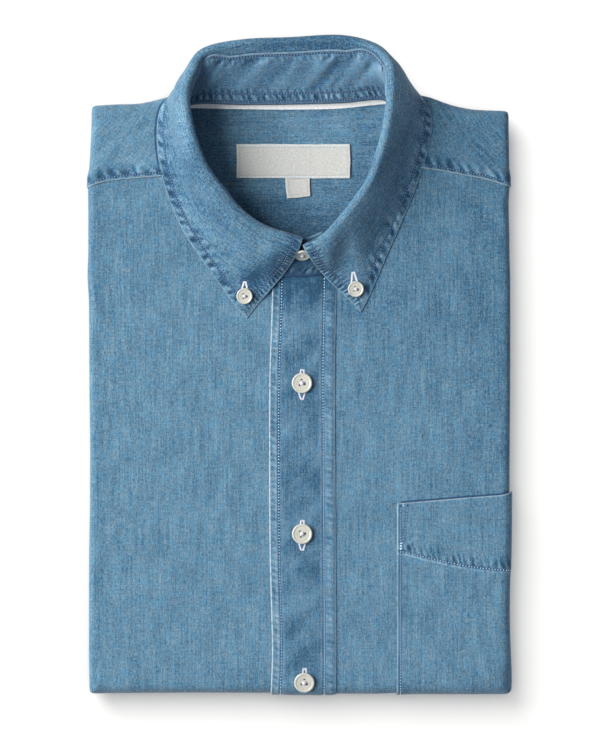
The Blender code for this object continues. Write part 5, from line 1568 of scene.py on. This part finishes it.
def button_thread(holes, scale):
    """Thread from the three holes to the button's middle, several strands each, and a knot."""
    strands = []
    for hole in holes:
        way = hole / np.linalg.norm(hole)
        side = np.array([-way[1], way[0], 0.0])
        for k in (-1.0, 0.0, 1.0):
            begin = way * (HOLE_CIRCLE - 0.25) * scale + side * 0.3 * k * scale + np.array([0.0, 0.0, 1.1])
            end = side * 0.22 * k * scale - way * 0.35 * scale + np.array([0.0, 0.0, 1.95])
            length = np.linalg.norm(end - begin)
            strands.append(((begin + end) / 2.0, (end - begin) / length, length * 1.15, 0.3 * scale))
    # The knot: a few short turns over each other.
    for k, turn in enumerate((0.4, 1.3, 2.2, 3.0)):
        centre = np.array([0.12 * math.cos(3.0 * turn), 0.12 * math.sin(3.0 * turn), 2.05 + 0.06 * k])
        way = np.array([math.cos(turn), math.sin(turn), 0.0])
        strands.append((centre * [scale, scale, 1.0], way, 2.5 * scale, 0.48 * scale))
    centres, ways, lengths, radii = (np.array(values) for values in zip(*strands))
    return capsules(centres, ways, np.array([[0.0, 0.0, 1.0]]).repeat(len(centres), 0), lengths, radii, 0.3)


def buttonhole(surface, start, end, open_start, open_end, seed, length_of=1.25, radius=0.27):
    """A worked buttonhole from start to end: short close stitches on both sides of its slit and a bar at each end.

    surface gives points and normals for x and y; open_start and open_end are half the slit's width at its ends."""
    start, end = np.array(start), np.array(end)
    length = np.linalg.norm(end - start)
    way = (end - start) / length
    side = np.array([-way[1], way[0]])
    random = np.random.RandomState(seed)
    places = np.arange(0.2, length - 0.2, 0.46)
    flat, turned = [], []
    for hand in (-1.0, 1.0):
        open_by = blend(open_start, open_end, places / length)
        at = start + way * places[:, None] + side * (hand * (open_by + 0.62))[:, None]
        flat.append(at)
        turned.append(np.tile(side + way * 0.12 * hand, (len(at), 1)))
    for at_end, half in ((start, open_start), (end, open_end)):
        bar = np.arange(-half - 0.9, half + 0.95, 0.42)
        flat.append(at_end + side * bar[:, None])
        turned.append(np.tile(way, (len(bar), 1)))
    flat, turned = np.concatenate(flat), np.concatenate(turned)
    flat = flat + random.uniform(-0.05, 0.05, flat.shape)
    points, normals = surface(flat[:, 0], flat[:, 1])
    ahead, _normals = surface(flat[:, 0] + turned[:, 0] * 0.3, flat[:, 1] + turned[:, 1] * 0.3)
    return capsules(points + normals * 0.08, unit(ahead - points), normals, length_of, radius, 0.55)


def surface_of(made):
    """Points and normals of an object's upper face, looked up from above."""
    tree = BVHTree.FromObject(made, bpy.context.evaluated_depsgraph_get())

    def look(xs, ys):
        points, normals = [], []
        for x, y in zip(np.atleast_1d(xs) * MM, np.atleast_1d(ys) * MM):
            hit, normal = tree.ray_cast(Vector((x, y, 0.1)), Vector((0.0, 0.0, -1.0)))[:2]
            if hit is None:
                hit, normal = tree.find_nearest(Vector((x, y, 22.0 * MM)))[:2]
            points.append(np.array(hit) / MM)
            normals.append(np.array(normal))
        return np.array(points), np.array(normals)

    return look


# ---- making it all -----------------------------------------------------------------------
def ride(piece, slot, *nodes):
    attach(piece, "root")
    if nodes:
        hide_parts(*nodes)
    return piece


def sew(name, rows, thread=WHITE_THREAD):
    ride(join_parts(name, rows, thread), "woven_white")


def make_stitches(fall, stand):
    """All rows of stitches, one object for each seam."""
    # Yoke: one row just above its folded edge, on both shoulders.
    rows = []
    far = FLAT_HALF + SIDE_CLOTH * 0.92
    for k, ends in enumerate(((-far, -60.0 - MIDDLE_X), (48.0, far))):
        across = np.linspace(*ends, 400)
        seam = cloth_y(across, line_at(YOKE_SEAM, MIDDLE_X + across))
        rows.append(stitches(*yoke_surface(across, seam + YOKE_ROW, np.full(400, YOKE_ROW))[:2], seed=10 + k))
    sew("yoke_stitches", rows, THREAD)
    # Placket: a row along either side, down round the bottom fold.
    along = np.linspace(STITCHED_LOW, PLACKET_END - 1.0, 900)
    rows = []
    for k, share in enumerate(placket_rows(along)):
        row = placket_surface(share, along)[:2]
        rows.append(stitches(*row, length=0.7 + 0.1 * k, radius=0.27, lift=0.06 + 0.08 * k, seed=20 + k))
    sew("placket_stitches", rows)
    # Pocket: down its side, its slanted hem, the brace at its corner, along its mouth, and a bar where they meet.
    side_x = POCKET_LOW + POCKET_ROW
    hem_x = np.linspace(side_x, FLAT_HALF + SIDE_CLOTH * 0.7, 300)
    brace_x, brace_y = zip(*POCKET_BRACE)
    brace = np.linspace(brace_y[-1], brace_y[0], 60)
    rows = [stitches(*pocket_surface(across, at)[:2], seed=30 + k) for k, (across, at) in enumerate((
        (np.full(400, side_x), np.linspace(POCKET_TOP_LEFT - 0.8, STITCHED_LOW, 400)),
        (hem_x, line_at(POCKET_HEM, hem_x + MIDDLE_X)),
        (np.interp(brace, brace_y, brace_x) - MIDDLE_X, brace),
        (np.linspace(side_x, brace_x[-1] - MIDDLE_X, 20), np.full(20, POCKET_TOP_LEFT - 1.0)),
    ))]
    bar_y = np.linspace(-104.0, -110.5, 30)
    for k, shift in enumerate((0.0, 0.7, 1.4)):
        bar = pocket_surface(np.full(30, POCKET_LOW + 1.6 + shift * 0.6), bar_y)[:2]
        rows.append(stitches(*bar, pitch=1.5, length=0.8, radius=0.2, seed=40 + k))
    sew("pocket_stitches", rows)
    # Collar: one row all round the leaf.
    at_row, at_column = fall.row_path(COLLAR_ROW).T
    normals = unit(sample(fall.normals, at_row, at_column))
    rows = [stitches(sample(fall.points, at_row, at_column), normals, radius=0.2, seed=50)]
    sew("collar_stitches", rows, COLLAR_THREAD)
    # Stand: two rows above the neck seam and one under the fall.
    rows = [stitches(*stand.row_path(height), seed=60 + k) for k, height in enumerate(STAND_ROWS + (STAND_TOP_ROW,))]
    sew("stand_stitches", rows, THREAD)
    # Label: small stitches along its long edges.
    rows = []
    x = np.linspace(LABEL_BOX[0] + 0.6, LABEL_BOX[2] - 0.6, 200)
    for k, edge in enumerate((LABEL_BOX[1] + 0.9, LABEL_BOX[3] - 0.9)):
        y = np.full(200, edge)
        points = np.stack([x, y, floor_height(x, y) + LABEL_LIFT + LABEL_CLOTH], -1)
        up = np.array([[0.0, 0.0, 1.0]]).repeat(200, 0)
        rows.append(stitches(points, up, pitch=1.6, length=1.2, radius=0.16, lift=0.1, seed=70 + k))
    sew("label_stitches", rows)


def make_fastenings(placket, fall, stand):
    """Buttons, their thread and their buttonholes."""
    on_placket, on_fall, on_stand = surface_of(placket), surface_of(fall), surface_of(stand)
    items = [(f"button_front_{k + 1}", FRONT_BUTTON_RADIUS, at, on_placket, 0.0) for k, at in enumerate(FRONT_BUTTONS)]
    items.append(("button_stand", STAND_BUTTON_RADIUS, STAND_BUTTON, on_stand, 0.4))
    items.append(("button_collar_right", COLLAR_BUTTON_RADIUS, COLLAR_BUTTONS[0], on_fall, 0.6))
    items.append(("button_collar_left", COLLAR_BUTTON_RADIUS, COLLAR_BUTTONS[1], on_fall, 0.1))
    ring = np.linspace(0.0, 2.0 * math.pi, 9)[:-1]
    threads = []
    for name, radius, at, surface, turn in items:
        around, tilts = surface(at[0] + 0.8 * radius * np.cos(ring), at[1] + 0.8 * radius * np.sin(ring))
        normal = unit(unit(tilts.mean(0)) - np.array([0.0, STAND_BUTTON_LEAN if surface is on_stand else 0.0, 0.0]))
        rise = ((around - around.mean(0)) @ normal).max()
        foot = around.mean(0) + normal * (0.35 + 0.4 * rise)
        button, thread = make_button(name + "_turned", radius, Vector(foot), Vector(normal), turn)
        ride(button, "button", name)
        threads.append(thread)
    sew("button_threads", threads, BUTTON_THREAD)
    # Each front buttonhole shows above and below its button; below the last one it is out of sight.
    holes = []
    for k, (x, y) in enumerate(FRONT_BUTTONS):
        last = k == len(FRONT_BUTTONS) - 1
        holes.append(buttonhole(on_placket, (x + 0.3, y + 7.7), (x, y - 1.0 if last else y + 1.0), 0.15, 1.4, 90 + k))
        if not last:
            holes.append(buttonhole(on_placket, (x + 0.1, y - 9.6), (x, y - 1.0), 0.1, 2.6, 93 + k))
    (x, y), (u, v) = COLLAR_BUTTONS
    holes.append(buttonhole(on_fall, (x + 0.3, y + 8.0), (x, y - 1.0), 0.0, 2.1, 97, 1.5, 0.32))
    holes.append(buttonhole(on_fall, (u - 1.3, v + 9.4), (u - 0.2, v - 1.0), 0.0, 2.1, 98, 1.5, 0.32))
    sew("buttonholes", holes, BUTTON_THREAD)


def declare(area=None):
    """Turns a piece of cloth's area, in square millimetres where it isn't a rectangle, into square metres; nothing else
    is done and nothing is kept.
    """
    area = None if area is None else area * MM * MM


layers = ride(make_folded_layers(), "denim_inside", "folded_layers")
inner = ride(make_yoke_inner(), "denim_inside", "yoke_inner")
front_right, front_left = make_fronts()
ride(front_right, "denim", "front_right")
ride(front_left, "denim", "front_left")
yoke = ride(make_yoke(), "denim", "yoke")
placket = ride(make_placket(), "denim", "placket")
pocket = ride(make_pocket(), "denim", "pocket")
fall = Fall()
fall_piece = ride(fall.make(), "denim", "collar_fall")
stand = Stand()
stand_piece = ride(stand.make(), "denim", "collar_stand")
tape = ride(make_neck_tape(), "woven_white", "neck_tape")
label = ride(floor_patch("neck_label_cloth", LABEL_BOX, (120, 42), LABEL_LIFT, LABEL_CLOTH, 91, 0.12),
             "woven_white", "label")
tab_box = (*SIZE_TAB_BOX[:3], SIZE_TAB_BOX[3] + TAB_UNDER_LABEL)
size_tab = ride(floor_patch("size_tab_cloth", tab_box, (32, 26), 0.25, LABEL_CLOTH * 0.8, 95, 0.35, askew=0.1),
                "woven_white", "size_tab")
make_stitches(fall, stand)
make_fastenings(placket, fall_piece, stand_piece)

declare()
declare()
declare(area=11800.0)
declare()
declare()
declare()
declare()
declare()
declare()
declare()


# ---- surface, light and camera -----------------------------------------------------------
FLOOR_HALF, FLOOR_LOW = 1500.0, -0.05
FLOOR_COLOUR = (0.9, 0.883, 0.85, 1.0)
SENSOR_WIDTH = 36.0
WIDTH_IN_VIEW = 0.36   # metres, at the shirt's top
CAMERA_ABOVE_SHIRT = 2.18
CAMERA_AT = (0.0001, -0.00468, 2.2)
SKY_COLOUR, SKY_LEVEL = (0.95, 0.99, 1.09, 1.0), 0.278


def add_floor():
    made, _shader, _sketch = plain_material("white_surface", 0.9, Base_Color=FLOOR_COLOUR, Specular_IOR_Level=0.1)
    corners = [(x * FLOOR_HALF, y * FLOOR_HALF, FLOOR_LOW) for x, y in ((-1, -1), (1, -1), (1, 1), (-1, 1))]
    floor = make_mesh("white_floor", np.array(corners), [np.array([[0, 1, 2, 3]])], made)
    return floor


def add_light(name, turn, rise, distance, size, level, lit, tint=(1.0, 1.0, 1.0), shading=None):
    """A soft light, turned round from +X and raised above the surface, in degrees, for the lit objects alone.

    Its level is the light that reaches the surface straight below its beam, over pi."""
    turn, rise = math.radians(turn), math.radians(rise)
    at = Vector((math.cos(rise) * math.cos(turn), math.cos(rise) * math.sin(turn), math.sin(rise))) * distance
    lamp = bpy.data.lights.new(name, "AREA")
    lamp.shape, lamp.size, lamp.color = "DISK", size, tint
    lamp.energy = level * math.pi ** 2 * distance ** 2
    made = bpy.data.objects.new(name, lamp)
    made.location = at
    made.rotation_euler = (-at).to_track_quat("-Z", "Y").to_euler()
    bpy.context.scene.collection.objects.link(made)
    for use, role, pieces in (("_lit", "receiver_collection", lit), ("_shading", "blocker_collection", shading)):
        if pieces is not None:
            group = bpy.data.collections.new(name + use)
            for piece in pieces:
                group.objects.link(piece)
            setattr(made.light_linking, role, group)


def add_camera():
    """A camera straight above the shirt."""
    camera = bpy.data.cameras.new("above")
    camera.sensor_fit, camera.sensor_width = "HORIZONTAL", SENSOR_WIDTH
    camera.lens = SENSOR_WIDTH * CAMERA_ABOVE_SHIRT / WIDTH_IN_VIEW
    made = bpy.data.objects.new("above", camera)
    made.location = CAMERA_AT
    bpy.context.scene.collection.objects.link(made)
    bpy.context.scene.camera = made


def add_world():
    world = bpy.data.worlds.new("studio")
    world.use_nodes = True
    sky = world.node_tree.nodes["Background"]
    sky.inputs["Color"].default_value = SKY_COLOUR
    sky.inputs["Strength"].default_value = SKY_LEVEL
    bpy.context.scene.world = world


# The shirt is lit low from the left; the white surface has its own lights, which leave a narrow soft shadow.
shirt_pieces = [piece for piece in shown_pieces() if not piece.hide_render]
white_floor = add_floor()
add_world()
outer_pieces = [piece for piece in shirt_pieces if piece is not inner]
flat_pieces = [layers, front_right, front_left, yoke, placket, pocket]
add_light("key", turn=167.0, rise=38.0, distance=3.2, size=2.8, level=2.66, lit=shirt_pieces, tint=(1.0, 0.985, 0.96))
add_light("card", turn=-12.0, rise=36.0, distance=0.9, size=0.6, level=0.09, lit=outer_pieces, tint=(0.75, 0.95, 1.25))
add_light("floor_key", turn=130.0, rise=47.0, distance=2.6, size=1.9, level=0.82, lit=[white_floor],
          shading=flat_pieces)
add_light("floor_wash", turn=0.0, rise=90.0, distance=3.4, size=2.6, level=0.578, lit=[white_floor])
add_camera()
bpy.context.scene.view_settings.view_transform = "Standard"
